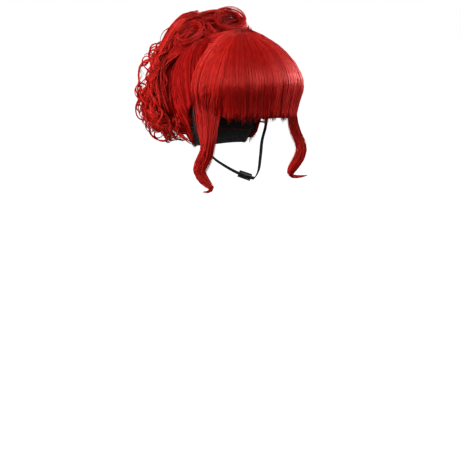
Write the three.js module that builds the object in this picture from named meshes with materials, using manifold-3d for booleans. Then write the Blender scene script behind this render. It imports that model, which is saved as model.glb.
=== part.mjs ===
// Cosplay wig: a straight fringe, two waved side locks and a curly updo, sewn to a black stretch cap
// with an elastic edge and a chin strap.
// Millimetres, +Z up. The face looks along -Y, and +X is the wearer's left.
// The origin is the point inside the top of the cap that rests on the crown of the head.
// An angle goes round the head from the middle of the face, 0, past the left ear, 90, to the nape, 180.
import * as THREE from "three";
import { mergeVertices } from "three/addons/utils/BufferGeometryUtils.js";
import Module from "manifold-3d";

const wasm = await Module();
wasm.setup();

// Driving dimensions

// The head form that the cap is knitted to fit. A power of 2 is an ellipse, and more is squarer.
const HEAD = { halfWidth: 77, front: 97, back: 102, power: 2.2, widest: -95, napeTaper: 0.28 };
const CAP_WALL = 1.5;
// Clearance between one sewn layer and the next
const LAYER_GAP = 0.5;

// The cap's lower edge: forehead, temple tab, over the ear, behind the ear, nape
const CAP_EDGE = [
  { angle: 0, height: -62 },
  { angle: 45, height: -74 },
  { angle: 72, height: -108 },
  { angle: 86, height: -97 },
  { angle: 100, height: -112 },
  { angle: 110, height: -121 },
  { angle: 120, height: -158 },
  { angle: 130, height: -178 },
  { angle: 180, height: -182 },
];
const EDGE_BAND = { tall: 5, wall: 1.9 };

// Fringe hair, combed from a whorl on the crown over the forehead and temples
const FRINGE = {
  whorlBack: 45,
  whorlHeight: 12,
  whorlShare: 0.07,
  oval: { halfWidth: 96, front: 122, back: 120, power: 2.4 },
  widest: -88,
  tuck: 0.55,
  domePower: 2.2,
  domeRoundFront: 0.45,
  domeRoundSide: 0.72,
  domeRows: 0.7,
  sideAngle: 86,
  ribs: 19,
  ribDepth: 1.1,
  raggedTips: 3,
};
// Fringe tips: cut level over the brow, and shorter at the temples where the side locks take over
const FRINGE_TIPS = [
  { angle: 0, height: -127 },
  { angle: 42, height: -128 },
  { angle: 50, height: -108 },
  { angle: 86, height: -106 },
];
const FRINGE_WALL = [
  { share: 0, wall: 18 },
  { share: 0.45, wall: 17 },
  { share: 0.75, wall: 12 },
  { share: 1, wall: 5 },
];

// Hair combed up from the ears and the nape
const SWEPT = {
  grow: 10.5,
  wall: 11,
  frontAngle: 91,
  partBack: 49.5,
  partSlope: 0.52,
  edgeRise: 2.5,
  ribs: 12,
  ribDepth: 0.9,
};

// Side locks, a row for each bend. broad is the lock's wider way across, and heading turns it
// outwards in plan.
const SIDE_LOCK_RIGHT = [
  { x: -89, y: -44, z: -109.2, broad: 44, thin: 9, heading: 26 },
  { x: -88, y: -46, z: -132, broad: 42, thin: 14, heading: 20 },
  { x: -86, y: -46, z: -152, broad: 33, thin: 16, heading: 12 },
  { x: -86, y: -44, z: -170, broad: 27, thin: 16, heading: 8 },
  { x: -89, y: -41, z: -184, broad: 25, thin: 15, heading: 4 },
  { x: -93, y: -34, z: -199, broad: 25, thin: 14, heading: 0 },
  { x: -94, y: -29, z: -211, broad: 25, thin: 13, heading: 0 },
  { x: -91, y: -34, z: -222, broad: 23, thin: 12, heading: 4 },
  { x: -86, y: -41, z: -231, broad: 19, thin: 10, heading: 8 },
  { x: -82, y: -46, z: -238, broad: 12, thin: 8, heading: 8 },
  { x: -85, y: -42, z: -244, broad: 6, thin: 5, heading: 8 },
  { x: -91, y: -32, z: -245, broad: 1.6, thin: 1.6, heading: 8 },
];
const SIDE_LOCK_LEFT = [
  { x: 89, y: -44, z: -109.7, broad: 44, thin: 9, heading: 26 },
  { x: 92, y: -48, z: -135, broad: 34, thin: 13, heading: 20 },
  { x: 93, y: -50, z: -158, broad: 26, thin: 15, heading: 12 },
  { x: 99, y: -54, z: -182, broad: 26, thin: 15, heading: 8 },
  { x: 96, y: -52, z: -197, broad: 25, thin: 14, heading: 4 },
  { x: 89, y: -48, z: -210, broad: 22, thin: 13, heading: 0 },
  { x: 82, y: -44, z: -222, broad: 18, thin: 11, heading: 0 },
  { x: 83, y: -43, z: -231, broad: 12, thin: 8, heading: 0 },
  { x: 91, y: -46, z: -236, broad: 7, thin: 6, heading: 0 },
  { x: 100, y: -52, z: -236, broad: 4, thin: 4, heading: 0 },
  { x: 110, y: -60, z: -234, broad: 1.6, thin: 1.6, heading: 0 },
];

// The updo behind the head: a rounded body of hair with ringlets coiled over it, and a mound
// under the rose curls
const UPDO = { y: 125, z: -97, halfWidth: 90, halfDepth: 81, halfHeight: 86 };
const MOUND = { y: 98, z: -24, halfWidth: 66, halfDepth: 46, halfHeight: 44 };
// Tiers of ringlets. top and bottom are degrees down from the updo's summit.
const RINGLET_TIERS = [
  { from: 76, to: 284, count: 8, top: 32, bottom: 84, turns: 2.3, coil: 12, thick: 18, thinEnd: 13 },
  { from: 66, to: 294, count: 8, top: 82, bottom: 154, turns: 2.8, coil: 15, thick: 19, thinEnd: 11 },
];
const RINGLET_STEPS_A_TURN = 6;
const RINGLET_SIDES = 5;

// Rolled rose curls pinned on the updo. lean tips the open end from straight up, towards facing,
// an angle round the head.
const ROSE_CURLS = [
  { name: "rose_curl_front", x: 25, y: 65, z: 33, facing: -20, lean: 40, radius: 26, deep: 22 },
  { name: "rose_curl_right", x: -48, y: 68, z: 10.5, facing: -70, lean: 40, radius: 24, deep: 14 },
  { name: "rose_curl_rear_right", x: -22, y: 112, z: 31, facing: -120, lean: 22, radius: 23, deep: 20 },
  { name: "rose_curl_left", x: 66, y: 92, z: 0, facing: 85, lean: 50, radius: 23, deep: 15 },
  { name: "rose_curl_rear_left", x: 30, y: 122, z: 30, facing: 140, lean: 20, radius: 23, deep: 20 },
];
const ROSE = { turns: 2.1, stepsATurn: 13, heart: 6, lap: 6, dish: 6 };

// Chin strap, from the cap's edge by the ear to the middle of the jaw. The other half mirrors it.
const STRAP_ROUTE = [
  { x: 77, y: 12, z: -125.3 },
  { x: 75.5, y: 12, z: -140 },
  { x: 72, y: 11, z: -156 },
  { x: 62, y: 7, z: -177 },
  { x: 50, y: -5, z: -196 },
  { x: 38, y: -18, z: -208 },
  { x: 22, y: -35, z: -220 },
  { x: 4, y: -49, z: -228 },
];
const STRAP = { broad: 7, thin: 1.3, steps: 48 };
const SLIDER = { along: 22, across: 13, deep: 5.5, slot: 0.5, fromMiddle: 16 };
const TIE = { height: -146, broad: 3, thin: 1.3 };

// Finishes
const HAIR_RED = { color: 0xb01216, roughness: 0.4, metalness: 0 };
const ELASTIC_BLACK = { color: 0x0c0b0c, roughness: 0.8, metalness: 0 };
const SLIDER_BLACK = { color: 0x101012, roughness: 0.45, metalness: 0 };

// Helpers

const rad = THREE.MathUtils.degToRad;
const FRONT_TO_BACK = 180;

// Value of a table's column at a key, eased between the rows
function lookUp(rows, keyColumn, column, key) {
  const after = rows.findIndex((row) => row[keyColumn] >= key);
  if (after === 0) return rows[0][column];
  if (after < 0) return rows[rows.length - 1][column];
  const [low, high] = [rows[after - 1], rows[after]];
  const share = (key - low[keyColumn]) / (high[keyColumn] - low[keyColumn]);
  return THREE.MathUtils.lerp(low[column], high[column], THREE.MathUtils.smoothstep(share, 0, 1));
}

// Angle from the middle of the face, the same on both sides
function fromFace(angle) {
  const turned = THREE.MathUtils.euclideanModulo(angle, 2 * FRONT_TO_BACK);
  return Math.min(turned, 2 * FRONT_TO_BACK - turned);
}

const capEdge = (angle) => lookUp(CAP_EDGE, "angle", "height", fromFace(angle));

// Direction in plan at an angle round the head
const outward = (angle) => new THREE.Vector3(Math.sin(rad(angle)), -Math.cos(rad(angle)), 0);

// Distance from the head's axis to an oval outline
function ovalRadius(oval, angle) {
  const { x, y } = outward(angle);
  const lengthways = y < 0 ? oval.front : oval.back;
  const sum = Math.abs(x / oval.halfWidth) ** oval.power + Math.abs(y / lengthways) ** oval.power;
  return sum ** (-1 / oval.power);
}

const grownOval = (grow) => ({
  halfWidth: HEAD.halfWidth + grow,
  front: HEAD.front + grow,
  back: HEAD.back + grow,
  power: HEAD.power,
});

// Share of a height between the head's widest level, 0, and its crown, 1
const riseOf = (height, grow) => (height - HEAD.widest) / (grow - HEAD.widest);

// Point on the head form, grown outwards by some millimetres
function headPoint(angle, height, grow) {
  const rise = Math.min(1, riseOf(height, grow));
  const dome = (1 - Math.abs(rise) ** HEAD.power) ** (1 / HEAD.power);
  const share = rise > 0 ? dome : 1 - HEAD.napeTaper * rise * rise;
  return outward(angle)
    .multiplyScalar(ovalRadius(grownOval(grow), angle) * share)
    .setZ(height);
}

// Evenly spaced values from low to high, both included
const spaced = (low, high, steps) =>
  Array.from({ length: steps + 1 }, (_, i) => THREE.MathUtils.lerp(low, high, i / steps));

// Closed geometry from polygons of points: points at one place become one vertex, and faces turn outwards
function closedGeometry(polygons) {
  const places = new Map();
  const positions = [];
  const indexOf = (p) => {
    const key = [p.x, p.y, p.z].map((v) => Math.round(v * 1e4)).join();
    if (!places.has(key)) {
      places.set(key, places.size);
      positions.push(p.x, p.y, p.z);
    }
    return places.get(key);
  };
  const triangles = [];
  for (const polygon of polygons) {
    const corners = polygon.map(indexOf).filter((v, i, all) => v !== all[(i + 1) % all.length]);
    for (let i = 2; i < corners.length; i++) triangles.push([corners[0], corners[i - 1], corners[i]]);
  }
  const at = (i) => new THREE.Vector3().fromArray(positions, 3 * i);
  const volume = triangles.reduce((sum, [a, b, c]) => sum + at(a).dot(at(b).cross(at(c))), 0);
  const order = volume < 0 ? ([a, b, c]) => [a, c, b] : (t) => t;
  return new THREE.BufferGeometry()
    .setAttribute("position", new THREE.Float32BufferAttribute(positions, 3))
    .setIndex(triangles.flatMap(order));
}

// A wall between two grids of points, outer[row][column] and inner, closed along every free edge
function wallGeometry(outer, inner, wraps) {
  const polygons = [];
  const rows = outer.length - 1;
  const columns = outer[0].length - 1;
  for (let r = 0; r < rows; r++)
    for (let c = 0; c < columns; c++) {
      polygons.push([outer[r][c], outer[r + 1][c], outer[r + 1][c + 1], outer[r][c + 1]]);
      polygons.push([inner[r][c], inner[r][c + 1], inner[r + 1][c + 1], inner[r + 1][c]]);
    }
  for (let c = 0; c < columns; c++) {
    polygons.push([outer[0][c], outer[0][c + 1], inner[0][c + 1], inner[0][c]]);
    polygons.push([outer[rows][c + 1], outer[rows][c], inner[rows][c], inner[rows][c + 1]]);
  }
  for (let r = 0; r < rows && !wraps; r++) {
    polygons.push([outer[r + 1][0], outer[r][0], inner[r][0], inner[r + 1][0]]);
    polygons.push([outer[r][columns], outer[r + 1][columns], inner[r + 1][columns], inner[r][columns]]);
  }
  return closedGeometry(polygons);
}

// A solid through rings of points, each with the same number of corners, with flat ends
function loftGeometry(rings) {
  const sides = rings[0].length;
  const polygons = [rings[0].slice().reverse(), rings[rings.length - 1]];
  for (let i = 1; i < rings.length; i++)
    for (let s = 0; s < sides; s++) {
      const t = (s + 1) % sides;
      polygons.push([rings[i - 1][s], rings[i - 1][t], rings[i][t], rings[i][s]]);
    }
  return closedGeometry(polygons);
}

// An oval ring of points square to a path
function ovalRing(centre, across, up, broad, thin, sides) {
  return spaced(0, 2 * Math.PI, sides)
    .slice(0, sides)
    .map((turn) =>
      centre
        .clone()
        .addScaledVector(across, (Math.cos(turn) * broad) / 2)
        .addScaledVector(up, (Math.sin(turn) * thin) / 2),
    );
}

function solidOf(geometry) {
  const bare = new THREE.BufferGeometry()
    .setAttribute("position", geometry.getAttribute("position").clone())
    .setIndex(geometry.index);
  const merged = mergeVertices(bare, 1e-3);
  return new wasm.Manifold(
    new wasm.Mesh({
      numProp: 3,
      vertProperties: merged.getAttribute("position").array,
      triVerts: new Uint32Array(merged.index.array),
    }),
  );
}

function geometryOf(solid) {
  const { vertProperties, triVerts } = solid.getMesh();
  return new THREE.BufferGeometry()
    .setAttribute("position", new THREE.BufferAttribute(vertProperties, 3))
    .setIndex(new THREE.BufferAttribute(triVerts, 1));
}

const wig = new THREE.Group();

function addPiece(name, geometry, finish) {
  const mesh = new THREE.Mesh(geometry, new THREE.MeshStandardMaterial(finish));
  mesh.name = name;
  wig.add(mesh);
  return mesh;
}

// Cap: a thin knitted wall over the whole hair line, open below

const CAP_COLUMNS = 36;
const CAP_ROWS = 8;

function capWall(grow) {
  return spaced(0, 1, CAP_ROWS).map((share) =>
    spaced(0, 2 * FRONT_TO_BACK, CAP_COLUMNS).map((angle) => {
      const drop = 1 - Math.cos((share * Math.PI) / 2);
      return headPoint(angle, THREE.MathUtils.lerp(grow, capEdge(angle), drop), grow);
    }),
  );
}

addPiece("cap", wallGeometry(capWall(CAP_WALL), capWall(0), true), ELASTIC_BLACK);

// The room that the head takes up under the cap's wall, or under a layer on it, down past the nape
function headRoom(grow) {
  const bottom = capEdge(FRONT_TO_BACK) - HEAD.halfWidth;
  const rows = capWall(grow);
  rows.push(rows[0].map((_, c) => headPoint((c * 2 * FRONT_TO_BACK) / CAP_COLUMNS, bottom, grow)));
  rows.push(rows[0].map(() => new THREE.Vector3(0, 0, bottom)));
  const polygons = [];
  rows.slice(1).forEach((row, r) =>
    row.slice(1).forEach((point, c) => polygons.push([rows[r][c], row[c], point, rows[r][c + 1]])),
  );
  return solidOf(closedGeometry(polygons));
}

// Edge band: the elastic that binds the cap's lower edge

function bandWall(grow) {
  return [LAYER_GAP, LAYER_GAP + EDGE_BAND.tall].map((drop) =>
    spaced(0, 2 * FRONT_TO_BACK, CAP_COLUMNS).map((angle) => headPoint(angle, capEdge(angle) - drop, grow)),
  );
}

addPiece("edge_band", wallGeometry(bandWall(EDGE_BAND.wall), bandWall(0), true), ELASTIC_BLACK);

// Combed sheets of hair: a wall whose outer face is given by a function of the angle and of the share
// from root to tip, ridged in locks, and whose inner face lies on the cap

function combedSolid(surface, angles, shares, wallAt, ribDepth, outset = 0) {
  const step = 1e-3;
  const normalAt = (angle, share) => {
    const aside = surface(angle + step, share).sub(surface(angle - step, share));
    const along = surface(angle, share + step).sub(surface(angle, share - step));
    return along.cross(aside).normalize();
  };
  const outer = shares.map((share) =>
    angles.map((angle, column) => {
      const ridge = (column % 2 ? -1 : 1) * ribDepth * share;
      return surface(angle, share, column).addScaledVector(normalAt(angle, share), ridge + outset);
    }),
  );
  const inner = shares.map((share) =>
    angles.map((angle, column) =>
      surface(angle, share, column).addScaledVector(normalAt(angle, share), -wallAt(share)),
    ),
  );
  const sheet = solidOf(wallGeometry(outer, inner, false)).subtract(headRoom(CAP_WALL + LAYER_GAP));
  return sheet.decompose().sort((a, b) => b.volume() - a.volume())[0];
}

// Fringe: over the crown, forehead and temples

function fringePoint(angle, share, column = 0) {
  const { whorlShare, widest, whorlHeight, domeRows } = FRINGE;
  const rim = outward(angle).multiplyScalar(ovalRadius(FRINGE.oval, angle));
  const whorl = new THREE.Vector3(0, FRINGE.whorlBack, 0);
  if (share <= domeRows) {
    const turn = (share / domeRows) * (Math.PI / 2);
    const reach = THREE.MathUtils.lerp(whorlShare, 1, Math.sin(turn));
    const sideways = Math.sin(rad(angle)) ** 2;
    const round = THREE.MathUtils.lerp(FRINGE.domeRoundFront, FRINGE.domeRoundSide, sideways);
    const rise = (1 - Math.min(1, reach) ** FRINGE.domePower) ** round;
    return whorl.lerp(rim, reach).setZ(widest + (whorlHeight - widest) * rise);
  }
  const ragged = column % 2 ? FRINGE.raggedTips : 0;
  const tip = lookUp(FRINGE_TIPS, "angle", "height", fromFace(angle)) + ragged;
  const drop = ((share - domeRows) / (1 - domeRows)) * (widest - tip);
  const tucked = 1 - FRINGE.tuck * (drop / HEAD.widest) ** 2;
  return rim.multiplyScalar(tucked).setZ(widest - drop);
}

const FRINGE_ROWS = 9;
const fringeSolid = (outset) =>
  combedSolid(
    fringePoint,
    spaced(-FRINGE.sideAngle, FRINGE.sideAngle, 2 * FRINGE.ribs),
    spaced(0, 1, FRINGE_ROWS),
    (share) => lookUp(FRINGE_WALL, "share", "wall", share),
    FRINGE.ribDepth,
    outset,
  );

addPiece("fringe", geometryOf(fringeSolid(0)), HAIR_RED);

// Swept hair: from behind the fringe round the back of the head

function sweptPoint(angle, share) {
  const { x, y } = outward(angle);
  const partRadius = SWEPT.partBack / (y + SWEPT.partSlope * Math.abs(x));
  const reach = Math.min(1, partRadius / ovalRadius(grownOval(SWEPT.grow), angle));
  const rise = (1 - reach ** HEAD.power) ** (1 / HEAD.power);
  const top = THREE.MathUtils.lerp(HEAD.widest, SWEPT.grow, rise);
  const tip = capEdge(angle) + SWEPT.edgeRise;
  const drop = 1 - Math.cos((share * Math.PI) / 2);
  return headPoint(angle, THREE.MathUtils.lerp(top, tip, drop), SWEPT.grow);
}

const SWEPT_ROWS = 7;
const sweptSolid = (outset) =>
  combedSolid(
    sweptPoint,
    spaced(SWEPT.frontAngle, 2 * FRONT_TO_BACK - SWEPT.frontAngle, 2 * SWEPT.ribs),
    spaced(0.02, 1, SWEPT_ROWS),
    () => SWEPT.wall,
    SWEPT.ribDepth,
    outset,
  );

addPiece("swept_hair", geometryOf(sweptSolid(0)), HAIR_RED);

// Side locks: oval sections along a smooth line through the bends

const LOCK_STEPS = 26;
const LOCK_SIDES = 8;

function lockGeometry(bends, side) {
  const line = new THREE.CatmullRomCurve3(bends.map(({ x, y, z }) => new THREE.Vector3(x, y, z)));
  const rings = spaced(0, 1, LOCK_STEPS).map((share) => {
    const row = share * (bends.length - 1);
    const [low, high] = [bends[Math.floor(row)], bends[Math.ceil(row)]];
    const mix = (column) => THREE.MathUtils.lerp(low[column], high[column], row % 1);
    const tangent = line.getTangent(share);
    const heading = rad(mix("heading"));
    const across = new THREE.Vector3(side * Math.sin(heading), Math.cos(heading), 0);
    across.addScaledVector(tangent, -across.dot(tangent)).normalize();
    const up = tangent.clone().cross(across);
    return ovalRing(line.getPoint(share), across, up, mix("broad"), mix("thin"), LOCK_SIDES);
  });
  return loftGeometry(rings);
}

addPiece("side_lock_right", lockGeometry(SIDE_LOCK_RIGHT, -1), HAIR_RED);
addPiece("side_lock_left", lockGeometry(SIDE_LOCK_LEFT, 1), HAIR_RED);

// Rose curls: a ribbon of hair rolled into a spiral, dished towards its heart

function roseGeometry({ radius, deep }) {
  const steps = Math.round(ROSE.turns * ROSE.stepsATurn);
  const spiral = (inset) =>
    spaced(0, 1, steps).map((share) => {
      const turn = share * ROSE.turns * 2 * Math.PI;
      const reach = THREE.MathUtils.lerp(ROSE.heart, radius, share) - inset;
      return new THREE.Vector2(reach * Math.cos(turn), reach * Math.sin(turn));
    });
  const outline = new THREE.Shape([...spiral(0), ...spiral(ROSE.lap).reverse()]);
  const geometry = new THREE.ExtrudeGeometry(outline, { depth: deep, bevelEnabled: false });
  const position = geometry.getAttribute("position");
  for (let i = 0; i < position.count; i++) {
    const reach = Math.hypot(position.getX(i), position.getY(i)) / radius;
    position.setZ(i, position.getZ(i) - deep - ROSE.dish * (1 - reach * reach));
  }
  return geometry;
}

// Turns a piece that opens along +Z to lean over at an angle round the head
function roseTurn({ facing, lean }) {
  const axis = outward(facing).multiplyScalar(Math.sin(rad(lean))).setZ(Math.cos(rad(lean)));
  return new THREE.Quaternion().setFromUnitVectors(new THREE.Vector3(0, 0, 1), axis);
}

for (const rose of ROSE_CURLS) {
  const mesh = addPiece(rose.name, roseGeometry(rose), HAIR_RED);
  mesh.position.set(rose.x, rose.y, rose.z);
  mesh.quaternion.copy(roseTurn(rose));
}

// Updo: ringlets coiled over a rounded body of hair, cut to sit on the swept hair and round the rose curls

function updoPoint(angle, down, grow) {
  const { x, y } = outward(angle);
  return new THREE.Vector3(
    (UPDO.halfWidth + grow) * Math.sin(rad(down)) * x,
    UPDO.y + (UPDO.halfDepth + grow) * Math.sin(rad(down)) * y,
    UPDO.z + (UPDO.halfHeight + grow) * Math.cos(rad(down)),
  );
}

function ringletGeometry(tier, angle) {
  const coilPoint = (share) => {
    const down = THREE.MathUtils.lerp(tier.top, tier.bottom, share);
    const turn = share * tier.turns * 2 * Math.PI;
    const girth = (UPDO.halfWidth * Math.sin(rad(down)) * Math.PI) / 180;
    return updoPoint(angle + (tier.coil * Math.sin(turn)) / girth, down, tier.coil * Math.cos(turn));
  };
  const steps = Math.round(tier.turns * RINGLET_STEPS_A_TURN);
  const line = new THREE.CatmullRomCurve3(spaced(0, 1, steps).map(coilPoint));
  const frames = line.computeFrenetFrames(steps, false);
  const rings = spaced(0, 1, steps).map((share, i) => {
    const taper = Math.min(1, 0.4 + 4 * Math.min(share, 1 - share));
    const thick = THREE.MathUtils.lerp(tier.thick, tier.thinEnd, share) * taper;
    const [across, up] = [frames.normals[i], frames.binormals[i]];
    return ovalRing(line.getPoint(share), across, up, thick, thick, RINGLET_SIDES);
  });
  return loftGeometry(rings);
}

// The room round a rose curl: a drum from just under it to well above it
function roseRoom(rose) {
  const above = rose.radius;
  const below = rose.deep + ROSE.dish + LAYER_GAP;
  const drum = new THREE.CylinderGeometry(rose.radius + 1, rose.radius + 1, above + below, 20)
    .rotateX(Math.PI / 2)
    .translate(0, 0, (above - below) / 2);
  drum.applyQuaternion(roseTurn(rose)).translate(rose.x, rose.y, rose.z);
  return solidOf(drum);
}

function roundBody({ y, z, halfWidth, halfDepth, halfHeight }) {
  const body = new THREE.SphereGeometry(1, 16, 9)
    .rotateX(Math.PI / 2)
    .scale(halfWidth, halfDepth, halfHeight)
    .translate(0, y, z);
  return solidOf(body);
}

function updoGeometry() {
  let mass = roundBody(UPDO).add(roundBody(MOUND));
  for (const tier of RINGLET_TIERS)
    for (const angle of spaced(tier.from, tier.to, tier.count - 1))
      mass = mass.add(solidOf(ringletGeometry(tier, angle)));
  mass = mass.subtract(headRoom(SWEPT.grow / 2));
  mass = mass.subtract(sweptSolid(LAYER_GAP));
  mass = mass.subtract(fringeSolid(LAYER_GAP));
  for (const rose of ROSE_CURLS) mass = mass.subtract(roseRoom(rose));
  const largest = mass.decompose().sort((a, b) => b.volume() - a.volume())[0];
  return geometryOf(largest);
}

addPiece("curl_mass", updoGeometry(), HAIR_RED);

// Chin strap: flat elastic from ear to ear under the jaw, with its slider and its ties

const mirrored = ({ x, y, z }) => new THREE.Vector3(-x, y, z);
const strapLine = new THREE.CatmullRomCurve3([
  ...STRAP_ROUTE.map(mirrored),
  ...STRAP_ROUTE.map(({ x, y, z }) => new THREE.Vector3(x, y, z)).reverse(),
]);

// Axes of the strap at a share of its length: along it, across its width, and away from the jaw
function strapFrame(share) {
  const centre = strapLine.getPointAt(share);
  const along = strapLine.getTangentAt(share);
  const away = new THREE.Vector3(centre.x, Math.min(0, centre.y), Math.min(0, centre.z - HEAD.widest) / 3);
  away.addScaledVector(along, -away.dot(along)).normalize();
  const across = along.clone().cross(away);
  return { centre, along, away, across };
}

function strapRing({ centre, away, across }, broad, thin) {
  return [
    [1, 1],
    [-1, 1],
    [-1, -1],
    [1, -1],
  ].map(([a, b]) =>
    centre
      .clone()
      .addScaledVector(across, (a * broad) / 2)
      .addScaledVector(away, (b * thin) / 2),
  );
}

const strapRings = spaced(0, 1, STRAP.steps).map((share) =>
  strapRing(strapFrame(share), STRAP.broad, STRAP.thin),
);
addPiece("chin_strap", loftGeometry(strapRings), ELASTIC_BLACK);

// Slider: a short plain sleeve that the strap runs through
const sliderMiddle = 0.5 - SLIDER.fromMiddle / strapLine.getLength();
const sliderReach = SLIDER.along / 2 / strapLine.getLength();
const sliderRings = (broad, thin) =>
  spaced(sliderMiddle - sliderReach, sliderMiddle + sliderReach, 4).map((share) => {
    const ring = strapRing(strapFrame(share), broad, thin);
    return [...ring, ring[0]];
  });
addPiece(
  "strap_slider",
  wallGeometry(
    sliderRings(SLIDER.across, SLIDER.deep),
    sliderRings(STRAP.broad + 2 * SLIDER.slot, STRAP.thin + 2 * SLIDER.slot),
    true,
  ),
  SLIDER_BLACK,
);

// Ties: short elastics from the strap back to the edge band behind the ear
function tieGeometry(side) {
  const down = spaced(0, 0.5, 500).find((share) => strapLine.getPointAt(share).z < TIE.height);
  const { centre, away } = strapFrame(side < 0 ? down : 1 - down);
  const start = centre.clone();
  start.y += STRAP.broad / 2 + LAYER_GAP;
  const edgeAngle = spaced(90, 150, 600).find((angle) => capEdge(angle) - EDGE_BAND.tall / 2 < centre.z);
  const end = headPoint(side * edgeAngle, centre.z, EDGE_BAND.wall / 2);
  const along = end.clone().sub(start).normalize();
  end.addScaledVector(along, -EDGE_BAND.tall / 2);
  away.addScaledVector(along, -away.dot(along)).normalize();
  const across = along.clone().cross(away);
  const ends = [start, end].map((centre) => strapRing({ centre, away, across }, TIE.broad, TIE.thin));
  return loftGeometry(ends);
}

addPiece("strap_tie_right", tieGeometry(-1), ELASTIC_BLACK);
addPiece("strap_tie_left", tieGeometry(1), ELASTIC_BLACK);

export default wig;
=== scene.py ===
# Red cosplay wig with a straight fringe, two waved side locks and a curly updo, dressed over its CAD frame.
# It goes together as a wig does: cap, edge elastic, combed hair, side locks, updo, rose curls, chin strap.
import math

import bmesh
import bpy
import numpy as np
from mathutils import Matrix


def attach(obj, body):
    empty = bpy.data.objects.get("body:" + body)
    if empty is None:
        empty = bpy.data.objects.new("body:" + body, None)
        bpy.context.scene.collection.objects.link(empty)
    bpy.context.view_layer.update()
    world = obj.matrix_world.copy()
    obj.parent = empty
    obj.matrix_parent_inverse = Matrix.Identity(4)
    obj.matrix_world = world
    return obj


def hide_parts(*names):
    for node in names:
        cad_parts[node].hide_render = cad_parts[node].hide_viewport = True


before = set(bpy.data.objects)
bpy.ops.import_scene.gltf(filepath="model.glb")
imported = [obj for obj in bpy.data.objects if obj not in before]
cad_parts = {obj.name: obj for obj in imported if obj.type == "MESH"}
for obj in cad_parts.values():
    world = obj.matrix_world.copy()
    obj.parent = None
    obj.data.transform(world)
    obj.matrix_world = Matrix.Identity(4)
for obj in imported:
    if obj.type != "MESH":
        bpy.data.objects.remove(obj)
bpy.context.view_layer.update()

# Cap: the stretch net cap that all the hair is sewn to. It is knitted nylon net, black, bound along its
# edge, and it covers the head from the hairline to the nape.
MM = 0.001  # sizes are in millimetres and angles in degrees, as far as the floor
HEAD_OVAL = {"half_width": 77, "front": 97, "back": 102, "power": 2.2}
HEAD_WIDEST = -95
NAPE_TAPER = 0.28
CAP_WALL = 1.5
CAP_NET = 1.3
CAP_OVERHANG = 1.6
CAP_EDGE = np.array([
    (0, -62), (45, -74), (72, -108), (86, -97), (100, -112), (110, -121), (120, -158), (130, -178),
    (180, -182),
])
CAP_GRID = (100, 40)
NET_HOLE = 2.2
NET_THREAD = 0.22
NET_BLACK = "#1D1A1C"
NET_SHADE = "#080708"
NET_RELIEF = (0.6, 0.4)  # strength and height


def linear(hex_colour):
    """An sRGB hex colour as the linear RGBA that a shader reads."""
    values = [int(hex_colour[i:i + 2], 16) / 255 for i in (1, 3, 5)]
    return [v / 12.92 if v <= 0.04045 else ((v + 0.055) / 1.055) ** 2.4 for v in values] + [1.0]


def eased(table, key):
    """A table's second column at a key in its first, eased from row to row."""
    key = np.asarray(key, float)
    row = np.clip(np.searchsorted(table[:, 0], key, side="right") - 1, 0, len(table) - 2)
    share = np.clip((key - table[row, 0]) / (table[row + 1, 0] - table[row, 0]), 0, 1)
    return table[row, 1] + (table[row + 1, 1] - table[row, 1]) * share * share * (3 - 2 * share)


def from_face(angle):
    """An angle round the head as its distance from the middle of the face, the same on both sides."""
    turned = np.mod(angle, 360)
    return np.minimum(turned, 360 - turned)


def outward(angle):
    """Direction in plan at an angle round the head: 0 is the face, 90 the left ear, 180 the nape."""
    angle = np.radians(angle)
    return np.stack([np.sin(angle), -np.cos(angle)], -1)


def oval_radius(angle, half_width, front, back, power):
    plan = outward(angle)
    lengthways = np.where(plan[..., 1] < 0, front, back)
    aside = np.abs(plan[..., 0] / half_width) ** power
    return (aside + np.abs(plan[..., 1] / lengthways) ** power) ** (-1 / power)


def head_oval(grow):
    return {size: value + grow * (size != "power") for size, value in HEAD_OVAL.items()}


def head_point(angle, height, grow):
    """A point on the head form, grown outwards by some millimetres."""
    rise = np.minimum(1, (height - HEAD_WIDEST) / (grow - HEAD_WIDEST))
    power = HEAD_OVAL["power"]
    dome = (1 - np.abs(rise) ** power) ** (1 / power)
    share = np.where(rise > 0, dome, 1 - NAPE_TAPER * rise * rise)
    plan = outward(angle) * (oval_radius(angle, **head_oval(grow)) * share)[..., None]
    return np.concatenate([plan, np.broadcast_to(height, share.shape)[..., None]], -1)


def cap_edge(angle):
    return eased(CAP_EDGE, from_face(angle))


def cap_place(across, down):
    angle = 360 * across
    drop = 1 - np.cos(down * np.pi / 2)
    height = CAP_WALL + (cap_edge(angle) - CAP_OVERHANG - CAP_WALL) * drop
    return head_point(angle, height, CAP_WALL)


def shaped_grid(columns, rows, place, cloth=(1, 1)):
    """A grid whose points go where place puts their shares across and down it, in millimetres.
    Its weave map is in metres of a cloth of that width and length."""
    mesh = bmesh.new()
    whole = mesh.loops.layers.uv.new("OFBake")
    weave = mesh.loops.layers.uv.new("weave")
    bmesh.ops.create_grid(mesh, x_segments=columns, y_segments=rows, size=0.5, calc_uvs=True)
    for face in mesh.faces:
        for loop in face.loops:
            x, y, _ = loop.vert.co
            loop[whole].uv = (x + 0.5, y + 0.5)
            loop[weave].uv = ((x + 0.5) * cloth[0] * MM, (y + 0.5) * cloth[1] * MM)
    shares = np.array([vertex.co for vertex in mesh.verts]) + 0.5
    for vertex, point in zip(mesh.verts, place(shares[:, 0], shares[:, 1])):
        vertex.co = point * MM
    bmesh.ops.remove_doubles(mesh, verts=mesh.verts, dist=0.01 * MM)
    return mesh


def new_object(name, data):
    """An object of that name in the scene, at the origin."""
    made = bpy.data.objects.new(name, data)
    bpy.context.collection.objects.link(made)
    return made


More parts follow.
